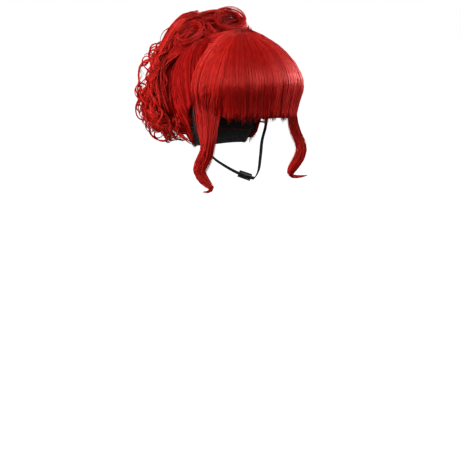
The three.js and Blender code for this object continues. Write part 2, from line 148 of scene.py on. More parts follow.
def add_piece(name, mesh, material, thickness=0):
    """A smooth-shaded object from a bmesh. A sheet gets its thickness inwards from the face that shows."""
    for face in mesh.faces:
        face.smooth = True
    data = bpy.data.meshes.new(name)
    mesh.to_mesh(data)
    mesh.free()
    data.materials.append(material)
    piece = new_object(name, data)
    if thickness:
        wall = piece.modifiers.new("wall", "SOLIDIFY")
        wall.thickness = thickness * MM
        wall.offset = -1
    return piece


def new_material(name, **sockets):
    """A material with its constant values on the shader's own sockets."""
    material = bpy.data.materials.new(name)
    material.use_nodes = True
    shader = material.node_tree.nodes["Principled BSDF"]
    for socket, value in sockets.items():
        shader.inputs[socket.replace("_", " ")].default_value = value
    return material, shader


def add_node(material, kind, links=(), **settings):
    """A node with its settings, and the values or sockets that its inputs read."""
    node = material.node_tree.nodes.new(kind)
    for name, value in settings.items():
        setattr(node, name, value)
    for socket, source in dict(links).items():
        if isinstance(source, bpy.types.NodeSocket):
            material.node_tree.links.new(source, node.inputs[socket])
        else:
            node.inputs[socket].default_value = source
    return node


def two_tone(material, shader, pattern, first, second, strength, high):
    """Colours a material from one tone to another by a pattern, which also raises it by some millimetres."""
    tones = {"Factor": pattern, 6: linear(first), 7: linear(second)}
    tint = add_node(material, "ShaderNodeMix", tones, data_type="RGBA")
    material.node_tree.links.new(tint.outputs[2], shader.inputs["Base Color"])
    raised = {"Height": pattern, "Strength": strength, "Distance": high * MM}
    relief = add_node(material, "ShaderNodeBump", raised)
    material.node_tree.links.new(relief.outputs["Normal"], shader.inputs["Normal"])
    return relief


# Knitted nylon net: matt black threads round small holes, which lie a little deeper
net, shader = new_material("nylon_net", Roughness=0.75)
where = add_node(net, "ShaderNodeTexCoord").outputs["Object"]
holes = add_node(net, "ShaderNodeTexVoronoi", {"Vector": where, "Scale": 1 / (NET_HOLE * MM)},
                 feature="DISTANCE_TO_EDGE")
thread = add_node(net, "ShaderNodeMapRange", {"Value": holes.outputs["Distance"], "From Max": NET_THREAD})
relief = two_tone(net, shader, thread.outputs["Result"], NET_BLACK, NET_SHADE, *NET_RELIEF)
relief.invert = True

cap_mesh = shaped_grid(*CAP_GRID, cap_place)
bmesh.ops.recalc_face_normals(cap_mesh, faces=cap_mesh.faces)
cap = add_piece("cap_net", cap_mesh, net, CAP_NET)
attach(cap, "root")
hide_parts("cap")

# Weft rows: the tapes that the hair is machine sewn into, in level rows inside the cap.
# Each is a narrow band of dark red thread, stitched flat to the net from one temple round to the other.
WEFT_TALL = 3.2
WEFT_THICK = 0.5
WEFT_LEVELS = range(-30, -172, -13)
WEFT_INSIDE = 0.25
WEFT_SWELL = 0.35
WEFT_GRID = (64, 3)
WEFT_THREAD = "#921A1C"
WEFT_STITCH = "#2A0506"
STITCH_SPACING = 2.4
STITCH_RELIEF = (0.5, 0.3)
WAVE_PERIOD = 0.314  # the spacing that a wave texture has at a scale of 1


def weft_place(level, first):
    def place(across, down):
        angle = first + (360 - 2 * first) * across
        return head_point(angle, level - WEFT_TALL * down, -WEFT_INSIDE - WEFT_SWELL * np.sin(np.pi * down))
    return place


# Stitched weft tape: matt red thread crossed by darker stitches at a regular step
tape, shader = new_material("stitched_weft_tape", Roughness=0.8)
where = add_node(tape, "ShaderNodeUVMap", uv_map="weave").outputs["UV"]
stitched = {"Vector": where, "Scale": WAVE_PERIOD / (STITCH_SPACING * MM)}
stitches = add_node(tape, "ShaderNodeTexWave", stitched)
two_tone(tape, shader, stitches.outputs["Fac"], WEFT_THREAD, WEFT_STITCH, *STITCH_RELIEF)

wefts_mesh = bmesh.new()
for level in WEFT_LEVELS:
    angles = np.arange(0, 181, 1.0)
    first = angles[cap_edge(angles) < level - 2 * WEFT_TALL].min()
    length = 2 * np.pi * HEAD_OVAL["half_width"] * (1 - first / 180)
    row = shaped_grid(*WEFT_GRID, weft_place(level, first), (length, WEFT_TALL))
    row_mesh = bpy.data.meshes.new("weft_row")
    row.to_mesh(row_mesh)
    row.free()
    wefts_mesh.from_mesh(row_mesh)
    bpy.data.meshes.remove(row_mesh)
wefts = add_piece("weft_rows", wefts_mesh, tape, WEFT_THICK)
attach(wefts, "root")
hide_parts("cap")

# Edge elastic: the black ribbed elastic that binds the cap's lower edge and grips the hairline.
# It is a woven tape, zigzag stitched to the net, a little rounded along both of its edges.
BAND_TALL = 5
BAND_WALL = 1.9
BAND_CROWN = 0.5
BAND_GAP = 0.5
BAND_ROUND = 560
BAND_GRID = (240, 4)
RIB_SPACING = 1.4
PICK_SPACING = 1.0
WEAVE_RELIEF = (0.5, 0.3)
ELASTIC_BLACK = "#0C0B0C"
ELASTIC_RIB = "#232122"


def band_place(across, down):
    angle = 360 * across
    height = cap_edge(angle) - BAND_GAP - BAND_TALL * down
    return head_point(angle, height, BAND_WALL - BAND_CROWN * (2 * down - 1) ** 2)


# Woven elastic: black covered rubber in ribs along the tape, crossed by the weave's finer picks. It is dull,
# with a faint lift on each rib. The picks are drawn twice as coarse as real ones, which would be lost.
elastic, shader = new_material("woven_elastic", Roughness=0.7)
where = add_node(elastic, "ShaderNodeUVMap", uv_map="weave").outputs["UV"]
ribs = add_node(elastic, "ShaderNodeTexWave", {"Vector": where, "Scale": WAVE_PERIOD / (RIB_SPACING * MM)})
picks = add_node(elastic, "ShaderNodeTexWave", {"Vector": where, "Scale": WAVE_PERIOD / (PICK_SPACING * MM)},
                 bands_direction="Y")
crossed = {0: ribs.outputs["Fac"], 1: picks.outputs["Fac"]}
woven = add_node(elastic, "ShaderNodeMath", crossed, operation="MULTIPLY")
two_tone(elastic, shader, woven.outputs["Value"], ELASTIC_BLACK, ELASTIC_RIB, *WEAVE_RELIEF)

band_mesh = shaped_grid(*BAND_GRID, band_place, (BAND_ROUND, BAND_TALL))
bmesh.ops.recalc_face_normals(band_mesh, faces=band_mesh.faces)
band = add_piece("edge_elastic", band_mesh, elastic, BAND_WALL - BAND_CROWN)
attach(band, "root")
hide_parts("edge_band")

# Fringe: straight hair combed from a whorl on the crown over the forehead and the temples, and cut level.
# It is red synthetic fibre, heat set so that the tips turn under, and it falls in fine overlapping locks.
FRINGE_OVAL = {"half_width": 96, "front": 122, "back": 120, "power": 2.4}
FRINGE_WIDEST = -88
FRINGE_SIDE = 84
SUMMIT = (45, 12)
WHORL_AHEAD = -17
WHORL_SHARE = 0.03
WHORL_RISE = 4.5
WHORL_SPREAD = 34
DOME_POWER = 2.2
DOME_ROUND = (0.45, 0.72)
DOME_ROWS = 0.7
DOME_HALVINGS = 22
CREASES = np.array([(-84, -74), (25, -73), (58, -90), (84, -94)])
CREASE_RIPPLES = ((2.2, 23, 0), (1.8, 41, 50))  # height, how many round the head, where they start
CREASE_SOFT = 2.5
TUCK_DEPTH = 19
TUCK_RUN = 42
TUCK_FADE = 0.2
TUCK_FADES = (62, 16)
TEMPLE = (45, 10)
FRINGE_TIPS = np.array([
    (-86, -106), (-58, -110), (-48, -133), (0, -134), (30, -139), (48, -138), (58, -112), (86, -106),
])
FINE_HALF = 0.55
HAIR_TONES = ((0.0, "#6A0503"), (0.3, "#A30C09"), (0.65, "#C2150F"), (1.0, "#EE342A"))
HAIR_ROOT = "#8E1A16"
HAIR_SHEEN = "#FFA098"
ROOT_REACH = (0.01, 0.05)
TONE_BREADTH = 0.94  # of the map's width, the rest goes round each strand
MAP_EDGE = 0.01
STRAND_ROOT = 0.45
STRAND_GROWS = 6
STRAND_FINER = 0.7
ASKEW = (0.31, 0.52, 0.79)
draw = np.random.default_rng(11)


def ramp(value, start, run):
    """Nothing up to a start, then an even rise to 1 over a run."""
    return np.clip((value - start) / run, 0, 1)


def dome_height(plan):
    """Height of the combed dome over points in plan, by how far they lie from its summit to its rim."""
    offset = plan - [0, SUMMIT[0]]
    beyond, within = np.full(plan.shape[:-1], 1e-3), np.ones(plan.shape[:-1])
    for _ in range(DOME_HALVINGS):
        reach = (beyond + within) / 2
        rim = [0, SUMMIT[0]] + offset / reach[..., None]
        length = np.where(rim[..., 1] < 0, FRINGE_OVAL["front"], FRINGE_OVAL["back"])
        sizes = np.stack([np.full_like(length, FRINGE_OVAL["half_width"]), length], -1)
        inside = (np.abs(rim / sizes) ** FRINGE_OVAL["power"]).sum(-1) < 1
        within = np.where(inside, reach, within)
        beyond = np.where(inside, beyond, reach)
    sideways = rim[..., 0] ** 2 / (rim ** 2).sum(-1)
    bend = DOME_ROUND[0] + (DOME_ROUND[1] - DOME_ROUND[0]) * sideways
    rise = np.maximum(0, 1 - reach ** DOME_POWER) ** bend
    near = np.exp(-((plan - [0, WHORL_AHEAD]) ** 2).sum(-1) / WHORL_SPREAD ** 2)
    return FRINGE_WIDEST + (SUMMIT[1] - FRINGE_WIDEST) * rise + WHORL_RISE * near


def fringe_point(angle, share):
    """A point on the fringe's outer face, from the whorl at share 0 to the tips at 1."""
    angle, share = np.broadcast_arrays(np.asarray(angle, float), np.asarray(share, float))
    rim = outward(angle) * oval_radius(angle, **FRINGE_OVAL)[..., None]
    reach = WHORL_SHARE + (1 - WHORL_SHARE) * np.sin(np.minimum(share / DOME_ROWS, 1) * np.pi / 2)
    dome = np.array([0, WHORL_AHEAD]) * (1 - reach)[..., None] + rim * reach[..., None]
    drop = np.maximum(0, (share - DOME_ROWS) / (1 - DOME_ROWS)) * (FRINGE_WIDEST - eased(FRINGE_TIPS, angle))
    height = np.where(share <= DOME_ROWS, dome_height(dome), FRINGE_WIDEST) - drop
    crease = eased(CREASES, angle)
    for high, often, start in CREASE_RIPPLES:
        crease = crease + high * np.sin(np.radians(often * angle + start))
    below = CREASE_SOFT * np.logaddexp(0, (crease - height) / CREASE_SOFT)
    tuck = TUCK_DEPTH * (1 - TUCK_FADE * ramp(from_face(angle), *TUCK_FADES))
    tucked = tuck * (1 - np.exp(-below / TUCK_RUN))
    plan = np.where((share <= DOME_ROWS)[..., None], dome, rim) - outward(angle) * tucked[..., None]
    return np.concatenate([plan, height[..., None]], -1)


def outset(surface, angle, share, by):
    """A point of a combed sheet, moved outwards from its face by some millimetres."""
    step = 1e-3
    aside = surface(angle + step, share) - surface(angle - step, share)
    along = surface(angle, share + step) - surface(angle, np.maximum(share - step, 0))
    return surface(angle, share) + unit(np.cross(along, aside)) * np.asarray(by)[..., None]


def unit(vectors):
    return vectors / np.maximum(np.linalg.norm(vectors, axis=-1, keepdims=True), 1e-9)


def square_to(vectors, along):
    """Vectors with what lies along a direction taken out, at unit length."""
    return unit(vectors - (vectors * along).sum(-1, keepdims=True) * along)


def fill_locks(guides, across, broad, thin, count, draw, shorter, stray, twist=0.0):
    """Strands laid round each guide line: guides are (lock, point, xyz), across is the lock's broad way, and
    broad and thin are its half sizes. A strand may be shorter by a share of its length, strays by a share of
    the lock's size, and turns round in the lock by its twist, in radians."""
    locks, points, _ = guides.shape
    along = unit(np.gradient(guides, axis=1))
    across = square_to(np.broadcast_to(across, guides.shape), along)
    up = np.cross(along, across)
    share = np.linspace(0, 1, points)
    reach = np.sqrt(draw.random((locks, count, 1)))
    turn = draw.uniform(0, 2 * np.pi, (locks, count, 1)) + twist * share
    waves = draw.uniform(0.6, 1.7, (2, locks, count, 1)) * 2 * np.pi * share
    waves = stray * np.sin(waves + draw.uniform(0, 2 * np.pi, (2, locks, count, 1)))
    a = (reach * np.cos(turn) + waves[0]) * np.broadcast_to(broad, (locks, points))[:, None]
    b = (reach * np.sin(turn) + waves[1]) * np.broadcast_to(thin, (locks, points))[:, None]
    paths = guides[:, None] + across[:, None] * a[..., None] + up[:, None] * b[..., None]
    paths = paths.reshape(-1, points, 3)
    spot = share * (1 - shorter * draw.random((len(paths), 1)) ** 2) * (points - 1)
    low = np.minimum(spot.astype(int), points - 2)
    rest = (spot - low)[..., None]
    rows = np.arange(len(paths))[:, None]
    return paths[rows, low] * (1 - rest) + paths[rows, low + 1] * rest


def lock_tones(tone, locks, strands, draw):
    """A tone for every strand: the mean, how far locks differ, and how far strands differ in a lock."""
    mean, between, within = tone
    return np.repeat(draw.normal(mean, between, locks), strands) + draw.normal(0, within, locks * strands)


def hair_piece(name, paths, half, tones, material, sides=3):
    """One object of thin closed tubes along paths (strand, point, xyz) in millimetres, tapered to both ends.
    Its map gives each strand, or each point of it, a column by its tone, and runs from root to tip."""
    count, points, _ = paths.shape
    along = unit(np.gradient(paths, axis=1))
    side = square_to(np.broadcast_to(ASKEW, along[:, 0].shape), along[:, 0])
    sides_at = np.empty_like(paths)
    for i in range(points):
        side = square_to(side, along[:, i])
        sides_at[:, i] = side
    other = np.cross(along, sides_at)
    share = np.linspace(0, 1, points)
    profile = np.minimum(1, STRAND_ROOT + STRAND_GROWS * share) * (1 - STRAND_FINER * share ** 4)
    width = np.broadcast_to(half, (count,))[:, None] * profile
    turn = 2 * np.pi * np.arange(sides) / sides
    ring = np.cos(turn)[:, None] * sides_at[:, 1:-1, None] + np.sin(turn)[:, None] * other[:, 1:-1, None]
    ring = paths[:, 1:-1, None] + width[:, 1:-1, None, None] * ring
    vertices = np.concatenate([paths[:, :1], ring.reshape(count, -1, 3), paths[:, -1:]], 1)
    each = vertices.shape[1]

    def edge(point, side):
        """Corners at a point of the path along one side: vertex, point, place round. Both ends are tips."""
        if point in (0, points - 1):
            return [(0 if point == 0 else each - 1, point, side + 0.5)]
        return [(1 + (point - 1) * sides + s % sides, point, s) for s in (side, side + 1)]

    corners, starts = [], []
    for side in range(sides):
        for point in range(points - 1):
            starts.append(len(corners))
            corners += edge(point, side) + edge(point + 1, side)[::-1]
    vertex_of, point_of, around = np.array(corners).T
    point_of = point_of.astype(int)
    loops = (vertex_of + each * np.arange(count)[:, None]).ravel()
    starts = (np.array(starts) + len(corners) * np.arange(count)[:, None]).ravel()
    tones = np.clip(tones, 0, 1).reshape(count, -1) + np.zeros(points)
    columns = TONE_BREADTH * tones[:, point_of] + (1 - TONE_BREADTH) * around / sides
    rows = np.broadcast_to(MAP_EDGE + (1 - 2 * MAP_EDGE) * point_of / (points - 1), columns.shape)

    data = bpy.data.meshes.new(name)
    data.vertices.add(count * each)
    data.vertices.foreach_set("co", (vertices * MM).astype(np.float32).ravel())
    data.loops.add(len(loops))
    data.loops.foreach_set("vertex_index", loops.astype(np.int32))
    data.polygons.add(len(starts))
    data.polygons.foreach_set("loop_start", starts.astype(np.int32))
    data.polygons.foreach_set("use_smooth", np.ones(len(starts), bool))
    uv = data.uv_layers.new(name="OFBake", do_init=False)
    uv.uv.foreach_set("vector", np.stack([columns, rows], -1).astype(np.float32).ravel())
    data.update(calc_edges=True)
    data.validate()
    data.materials.append(material)
    return new_object(name, data)


# Synthetic hair fibre: smooth drawn filament, red all through, each strand a little lighter or darker than
# the next, with a soft sheen that keeps the fibre's own colour
fibre, shader = new_material("synthetic_hair_fibre", Metallic=0.1, Roughness=0.42, Specular_IOR_Level=0.4)
shader.inputs["Specular Tint"].default_value = linear(HAIR_SHEEN)
where = add_node(fibre, "ShaderNodeUVMap", uv_map="OFBake").outputs["UV"]
parts = add_node(fibre, "ShaderNodeSeparateXYZ", {"Vector": where})
tones = add_node(fibre, "ShaderNodeValToRGB", {"Fac": parts.outputs["X"]})
while len(tones.color_ramp.elements) < len(HAIR_TONES):
    tones.color_ramp.elements.new(0.5)
for stop, (place, colour) in zip(tones.color_ramp.elements, HAIR_TONES):
    stop.position = place
    stop.color = linear(colour)
reach = dict(zip(("From Min", "From Max"), ROOT_REACH))
root = add_node(fibre, "ShaderNodeMapRange", {"Value": parts.outputs["Y"]} | reach)
colours = {"Factor": root.outputs["Result"], 6: linear(HAIR_ROOT), 7: tones.outputs["Color"]}
tint = add_node(fibre, "ShaderNodeMix", colours, data_type="RGBA")
fibre.node_tree.links.new(tint.outputs[2], shader.inputs["Base Color"])

# Massed hair fibre: the same filament in the layer below, painted darker as the shade under the top strands,
# with the locks of it drawn as streaks
UNDER_PAINTED_SHADE = "#860907"
UNDER_RED = "#BE1410"
SHEET_SIZE = (338, 200)  # round the brow, and from the whorl to the tips
STREAK_SIZE = (1.3, 50)
STREAK_RELIEF = (0.8, 0.6)
under, shader = new_material("massed_hair_fibre", Roughness=0.75, Specular_IOR_Level=0.08)
where = add_node(under, "ShaderNodeUVMap", uv_map="OFBake").outputs["UV"]
counts = (SHEET_SIZE[0] / STREAK_SIZE[0], SHEET_SIZE[1] / STREAK_SIZE[1], 1)
stretch = add_node(under, "ShaderNodeMapping", {"Vector": where, "Scale": counts}).outputs["Vector"]
streaks = add_node(under, "ShaderNodeTexNoise", {"Vector": stretch, "Scale": 1.0, "Detail": 2.0})
two_tone(under, shader, streaks.outputs["Fac"], UNDER_PAINTED_SHADE, UNDER_RED, *STREAK_RELIEF)

UNDER_WALL = 2.0
UNDER_DEPTH = 3.6
UNDER_LENGTH = 0.945
UNDER_TEMPLE = 3
UNDER_GRID = (96, 28)


def fringe_under_place(across, down):
    angle = FRINGE_SIDE * (2 * across - 1)
    sunk = UNDER_TEMPLE * ramp(np.abs(angle), *TEMPLE) * ramp(down, 0.5, 0.3)
    return outset(fringe_point, angle, UNDER_LENGTH * down, -UNDER_DEPTH - sunk)


fringe_under = add_piece("fringe_underlayer", shaped_grid(*UNDER_GRID, fringe_under_place), under, UNDER_WALL)
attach(fringe_under, "root")
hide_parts("fringe")

# the strands, in two layers that both gather to clumps at the tips
FRINGE_LAYERS = (
    ("fringe_inner_strands", 90, 8, 11, -3.0),
    ("fringe_outer_strands", 210, 10, 13, -1.2),
)
FRINGE_RUFFLE = 0.4
FRINGE_PACE = ((0, 0.4, 0.78, 1), (0, 0.52, 0.78, 1))
FRINGE_TONE = (0.53, 0.05, 0.1)  # mean, between locks, within a lock
FRINGE_LOOSE = (0.06, 0.12)  # shorter by, straying by
FRINGE_DRIFT = 0.5
FRINGE_BROAD = 0.6
FRINGE_THIN = 0.9
ROOT_FAN = 0.14
TIP_CLUMPS = 52
TIP_GATHER = 0.45
TIP_GATHERS = (0.55, 0.45)
TIP_CLOSE = 0.45
TIP_CLOSES = (0.75, 0.25)
TIP_RAGGED = 0.014
TIP_STEP = 0.011
TIP_STEPS = 0.022
TIP_FINE = 0.006
TIP_REACH = 1.04
# painted light: the last share of each strand is made lighter, for the tucked tips that lie in the fringe's
# shade
TIP_PAINTED_LIGHT = 0.5
TIP_PAINTED_LIGHT_SPAN = (0.86, 0.14)
TEMPLE_SHORTER = (0.1, 0.6)
TEMPLE_SUNK = 3.6
TEMPLE_SINKS = (0.4, 0.4)
for name, locks, strands, points, level in FRINGE_LAYERS:
    share = np.interp(np.linspace(0, 1, points), *FRINGE_PACE)
    spacing = 2 * FRINGE_SIDE / locks
    middle = -FRINGE_SIDE + spacing * (np.arange(locks) + 0.5) + draw.uniform(-0.5, 0.5, locks) * spacing
    clump = np.sort(draw.uniform(-FRINGE_SIDE, FRINGE_SIDE, TIP_CLUMPS))
    nearest = np.abs(middle[:, None] - clump).argmin(1)
    gather = (TIP_GATHER * (clump[nearest] - middle)[:, None]) * ramp(share, *TIP_GATHERS) ** 1.5
    drift = draw.normal(0, FRINGE_DRIFT, (locks, 1)) * share ** 2
    angle = np.clip(middle[:, None] + gather + drift, -FRINGE_SIDE, FRINGE_SIDE)
    angle = angle + ROOT_FAN * middle[:, None] * (1 - share) ** 2
    length = draw.normal(0, TIP_RAGGED, TIP_CLUMPS)[nearest]
    length = length - np.minimum(TIP_STEP * np.abs(clump[nearest] - middle) / spacing, TIP_STEPS)
    temple = ramp(np.abs(middle), *TEMPLE)
    length = length + draw.normal(0, TIP_FINE, locks) - temple * draw.uniform(*TEMPLE_SHORTER, locks)
    down = np.clip(share * (1.0 + length)[:, None], 0, TIP_REACH)
    sunk = TEMPLE_SUNK * temple[:, None] * ramp(share, *TEMPLE_SINKS)
    guides = outset(fringe_point, angle, down, draw.normal(level, FRINGE_RUFFLE, (locks, 1)) - sunk)
    aside = fringe_point(angle + spacing, down) - fringe_point(angle - spacing, down)
    close = 1 - TIP_CLOSE * ramp(share, *TIP_CLOSES) ** 2
    broad = np.linalg.norm(aside, axis=-1) * FRINGE_BROAD * close
    thin = FRINGE_THIN * np.minimum(1, 0.3 + share * 2) * close
    paths = fill_locks(guides, unit(aside), broad, thin, strands, draw, *FRINGE_LOOSE)
    tone = lock_tones(FRINGE_TONE, locks, strands, draw)
    fringe = hair_piece(name, paths, FINE_HALF, tone[:, None] + TIP_PAINTED_LIGHT * ramp(share, *TIP_PAINTED_LIGHT_SPAN), fibre)
    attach(fringe, "root")
    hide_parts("fringe")

# Crown hair: behind the whorl the same hair is combed back over the dome and gathered under the rose curls.
# It lies in flat locks that start below the fringe's roots and draw together as they go.
CROWN_LOCKS = 66
CROWN_STRANDS = 9
CROWN_POINTS = 10
CROWN_TONE = (0.52, 0.06, 0.14)
CROWN_LOOSE = (0.1, 0.2)
CROWN_DEPTH = (-1.8, 0.4)
CROWN_DRIFT = (1.0, 2.0)
CROWN_BROAD = 1.1
CROWN_THIN = 0.9
CROWN_GRID = (48, 14)
CROWN_HALF = 60
CROWN_START = 9
CROWN_DRAWN_IN = 0.3
CROWN_SINKS = np.array([(WHORL_AHEAD, 0), (WHORL_AHEAD + 45, 6)])
CROWN_ENDS = np.array([(0, 74), (35, 58), (60, 34)])
draw = np.random.default_rng(17)


def crown_place(aside, share):
    ahead = WHORL_AHEAD - CROWN_START + CROWN_START * np.abs(aside) / CROWN_HALF
    plan_x = aside * (1 - CROWN_DRAWN_IN * share * share)
    plan_y = ahead + (eased(CROWN_ENDS, np.abs(aside)) - ahead) * share
    plan = np.stack([plan_x, plan_y], -1)
    return np.concatenate([plan, (dome_height(plan) - eased(CROWN_SINKS, plan_y))[..., None]], -1)


def crown_under_place(across, down):
    return crown_place(CROWN_HALF * (2 * across - 1), down) - [0, 0, UNDER_DEPTH]


crown_under = add_piece("crown_underlayer", shaped_grid(*CROWN_GRID, crown_under_place), under, UNDER_WALL)
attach(crown_under, "root")
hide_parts("fringe")

share = np.linspace(0, 1, CROWN_POINTS)
each_lock = (CROWN_LOCKS, 1)
aside = CROWN_HALF * np.linspace(-1, 1, CROWN_LOCKS)[:, None] + draw.normal(0, CROWN_DRIFT[0], each_lock)
aside = aside + draw.normal(0, CROWN_DRIFT[1], each_lock) * share
guides = crown_place(aside, share) + draw.normal(*CROWN_DEPTH, (CROWN_LOCKS, 1, 1)) * [0, 0, 1]
across = crown_place(aside + 1, share) - crown_place(aside - 1, share)
broad = CROWN_BROAD * CROWN_HALF / CROWN_LOCKS
paths = fill_locks(guides, across, broad, CROWN_THIN, CROWN_STRANDS, draw, *CROWN_LOOSE)
tone = lock_tones(CROWN_TONE, CROWN_LOCKS, CROWN_STRANDS, draw)
crown = hair_piece("crown_strands", paths, FINE_HALF, tone, fibre)
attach(crown, "root")
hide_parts("fringe")

# Swept hair: the hair behind the fringe, combed flat over the cap from the ears and the nape up to the updo.
# It is the same fibre, laid close in one smooth sheet that ends just over the cap's edge elastic.
SWEPT_GROW = 10.5
SWEPT_FRONT = 82
SWEPT_EDGE = np.array([
    (82, -106), (92, -113), (97.5, -122), (103, -131), (108.5, -143), (112, -176), (120, -188), (180, -190),
])
PART_BACK = 30
PART_SLOPE = 0.52
PART_FROM = 91
BULGE = 13
BULGE_ANGLE = 122
BULGE_SPREAD = 20
SWEPT_TUCK = 7
TUCK_HEIGHTS = (-112, -38)
ROOT_SINK = 11
ROOT_SINK_RUN = 0.36
FRONT_SINK = 5
FRONT_SINK_RUN = 14
SWEPT_UNDER_DEPTH = 3.0
SWEPT_UNDER_REACH = (0.08, 0.88)
SWEPT_LOCKS = 130
SWEPT_STRANDS = 8
SWEPT_POINTS = 10
SWEPT_HALF = 0.85
SWEPT_TONE = (0.2, 0.06, 0.1)
SWEPT_LOOSE = (0.04, 0.15)
SWEPT_DEPTH = (-1.6, 0.5)
SWEPT_STARTS = (0, 0.18)
SWEPT_RAGGED = 0.01
SWEPT_DRIFT = 2.0
SWEPT_BROAD = 0.5
SWEPT_THIN = 1.3
SWEPT_GRID = (96, 22)
SWEPT_FIRST = 56
SWEPT_LEAN = 38
LEAN_FADES = (150, -68)
COMBED_SHINE = 0.1
draw = np.random.default_rng(23)


def swept_point(angle, share):
    """A point on the swept hair's outer face, from its parting at share 0 to its edge at 1."""
    angle, share = np.broadcast_arrays(np.asarray(angle, float), np.asarray(share, float))
    plan = outward(np.clip(from_face(angle), PART_FROM, 180))
    part = PART_BACK / (plan[..., 1] + PART_SLOPE * np.abs(plan[..., 0]))
    reach = np.minimum(1, part / oval_radius(angle, **head_oval(SWEPT_GROW)))
    power = HEAD_OVAL["power"]
    top = HEAD_WIDEST + (SWEPT_GROW - HEAD_WIDEST) * (1 - reach ** power) ** (1 / power)
    drop = 1 - np.cos(share * np.pi / 2)
    height = top + (eased(SWEPT_EDGE, from_face(angle)) - top) * drop
    bulge = BULGE * np.exp(-((from_face(angle) - BULGE_ANGLE) / BULGE_SPREAD) ** 2) * np.sin(np.pi * share)
    point = head_point(angle, height, SWEPT_GROW)
    point[..., :2] += outward(angle) * (bulge - SWEPT_TUCK * ramp(height, *TUCK_HEIGHTS))[..., None]
    return point


def swept_sunk(angle, share):
    """How far the sheet lies below its own face where the crown and the fringe lie over its edges."""
    rooted = ramp(share, 0, ROOT_SINK_RUN)
    fronted = ramp(from_face(angle), SWEPT_FRONT, FRONT_SINK_RUN)
    return np.maximum(ROOT_SINK * (1 - rooted) ** 2, FRONT_SINK * (1 - fronted) ** 2)


def swept_under_place(across, down):
    angle = SWEPT_FRONT + (360 - 2 * SWEPT_FRONT) * across
    share = SWEPT_UNDER_REACH[0] + SWEPT_UNDER_REACH[1] * down
    return outset(swept_point, angle, share, -SWEPT_UNDER_DEPTH - swept_sunk(angle, share))


swept_under = add_piece("swept_underlayer", shaped_grid(*SWEPT_GRID, swept_under_place), under, UNDER_WALL)
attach(swept_under, "root")
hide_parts("swept_hair")

# Combed hair fibre: the same filament, pulled tight, so that it is duller than the loose hair
combed = fibre.copy()
combed.name = "combed_hair_fibre"
combed.node_tree.nodes["Principled BSDF"].inputs["Specular IOR Level"].default_value = COMBED_SHINE

share = np.linspace(0, 1, SWEPT_POINTS)
each_lock = (SWEPT_LOCKS, 1)
spacing = (360 - 2 * SWEPT_FIRST) / SWEPT_LOCKS
middle = SWEPT_FIRST + spacing * (np.arange(SWEPT_LOCKS)[:, None] + 0.5)
leaning = np.where(middle < 180, SWEPT_LEAN, -SWEPT_LEAN) * ramp(from_face(middle), *LEAN_FADES)
ends = 1 - (np.clip(SWEPT_FRONT - 2 - from_face(middle), 0, SWEPT_LEAN) / SWEPT_LEAN) ** (2 / 3)
starts = draw.uniform(*SWEPT_STARTS, each_lock)
down = np.clip(starts + (ends * (1 + draw.normal(0, SWEPT_RAGGED, each_lock)) - starts) * share, 0, 1)
angle = middle + leaning * (1 - down) ** 1.5 + draw.normal(0, SWEPT_DRIFT, each_lock) * share
guides = outset(swept_point, angle, down, draw.normal(*SWEPT_DEPTH, each_lock) - swept_sunk(angle, down))
aside = swept_point(angle + spacing, down) - swept_point(angle - spacing, down)
broad = np.linalg.norm(aside, axis=-1) * SWEPT_BROAD
paths = fill_locks(guides, unit(aside), broad, SWEPT_THIN, SWEPT_STRANDS, draw, *SWEPT_LOOSE)
tone = lock_tones(SWEPT_TONE, SWEPT_LOCKS, SWEPT_STRANDS, draw)
swept = hair_piece("swept_strands", paths, SWEPT_HALF, tone, combed)
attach(swept, "root")
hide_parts("swept_hair")

# Side locks: a waved lock in front of each ear, drawn out of the fringe's temples and set on a roller.
# Each is one bundle of the same fibre, broad where it leaves the fringe and ending in a fine wisp.
# A row of a lock: x, y, z, breadth, depth, and the angle that its breadth turns to.
RIGHT_LOCK = np.array([
    (-89, -44, -109.2, 44, 9, 26), (-81, -37, -121, 45, 12, 23), (-85, -43, -136, 41, 15, 18),
    (-90, -49, -152, 33, 16, 12), (-92, -51, -170, 25, 16, 8), (-91, -44, -184, 26, 16, 4),
    (-93, -34, -199, 30, 16, 0), (-94, -29, -211, 29, 15, 0), (-91, -34, -222, 25, 13, 4),
    (-86, -41, -231, 19, 10, 8), (-82, -46, -238, 12, 8, 8), (-85, -42, -244, 6, 5, 8),
    (-91, -32, -245, 1.6, 1.6, 8),
])
LEFT_LOCK = np.array([
    (89, -44, -109.7, 44, 9, 26), (86, -43, -135, 36, 13, 20), (89, -47, -158, 29, 15, 12),
    (99, -54, -182, 28, 15, 8), (98, -53, -199, 27, 14, 4), (91, -49, -213, 24, 13, 0),
    (84, -45, -225, 19, 11, 0), (84, -44, -233, 12, 8, 0), (91, -46, -236, 7, 6, 0),
    (100, -52, -236, 4, 4, 0), (110, -60, -234, 1.6, 1.6, 0),
])
LOCK_POINTS = 27
LOCK_WISPS = 26
LOCK_STRANDS = 12
LOCK_TONE = (0.68, 0.1, 0.13)
LOCK_LOOSE = (0.22, 0.25, 1.2)  # shorter by, straying by, twist
# painted shade: each strand is darker a little below its root, where the fringe's tucked edge shades the lock
LOCK_PAINTED_SHADE = 0.4
LOCK_PAINTED_SHADE_AT = 0.355
LOCK_PAINTED_SHADE_RUN = 0.09
LOCK_FILL = (0.41, 0.38)
LOCK_ROOT_SHARES = np.array([0.03, 0.22, 0.4, 0.52, 0.62, 0.72, 0.84, 0.98])
LOCK_ROOT_ANGLE = 66
LOCK_ROOT_SPAN = 19
LOCK_ROOT_RISE = (1.2, 0.9)
LOCK_GATHER = 0.3
LOCK_GATHERS = (0.4, 0.46)
LOCK_OVERLAY = np.array([[0], [1.0], [1.0]])
WISP_AT_ROOT = (0.2, 0.13)
WISP_BELOW = (0.17, 0.2)
WISP_LEAST = 0.25
FLYAWAYS = 14
FLYAWAY_SPREAD = (1.6, 1.8)
FLYAWAY_LOOSE = (0.5, 0.5, 1.2)
FLYAWAY_HALF = 0.3
FLYAWAY_TONE = 0.7
draw = np.random.default_rng(31)


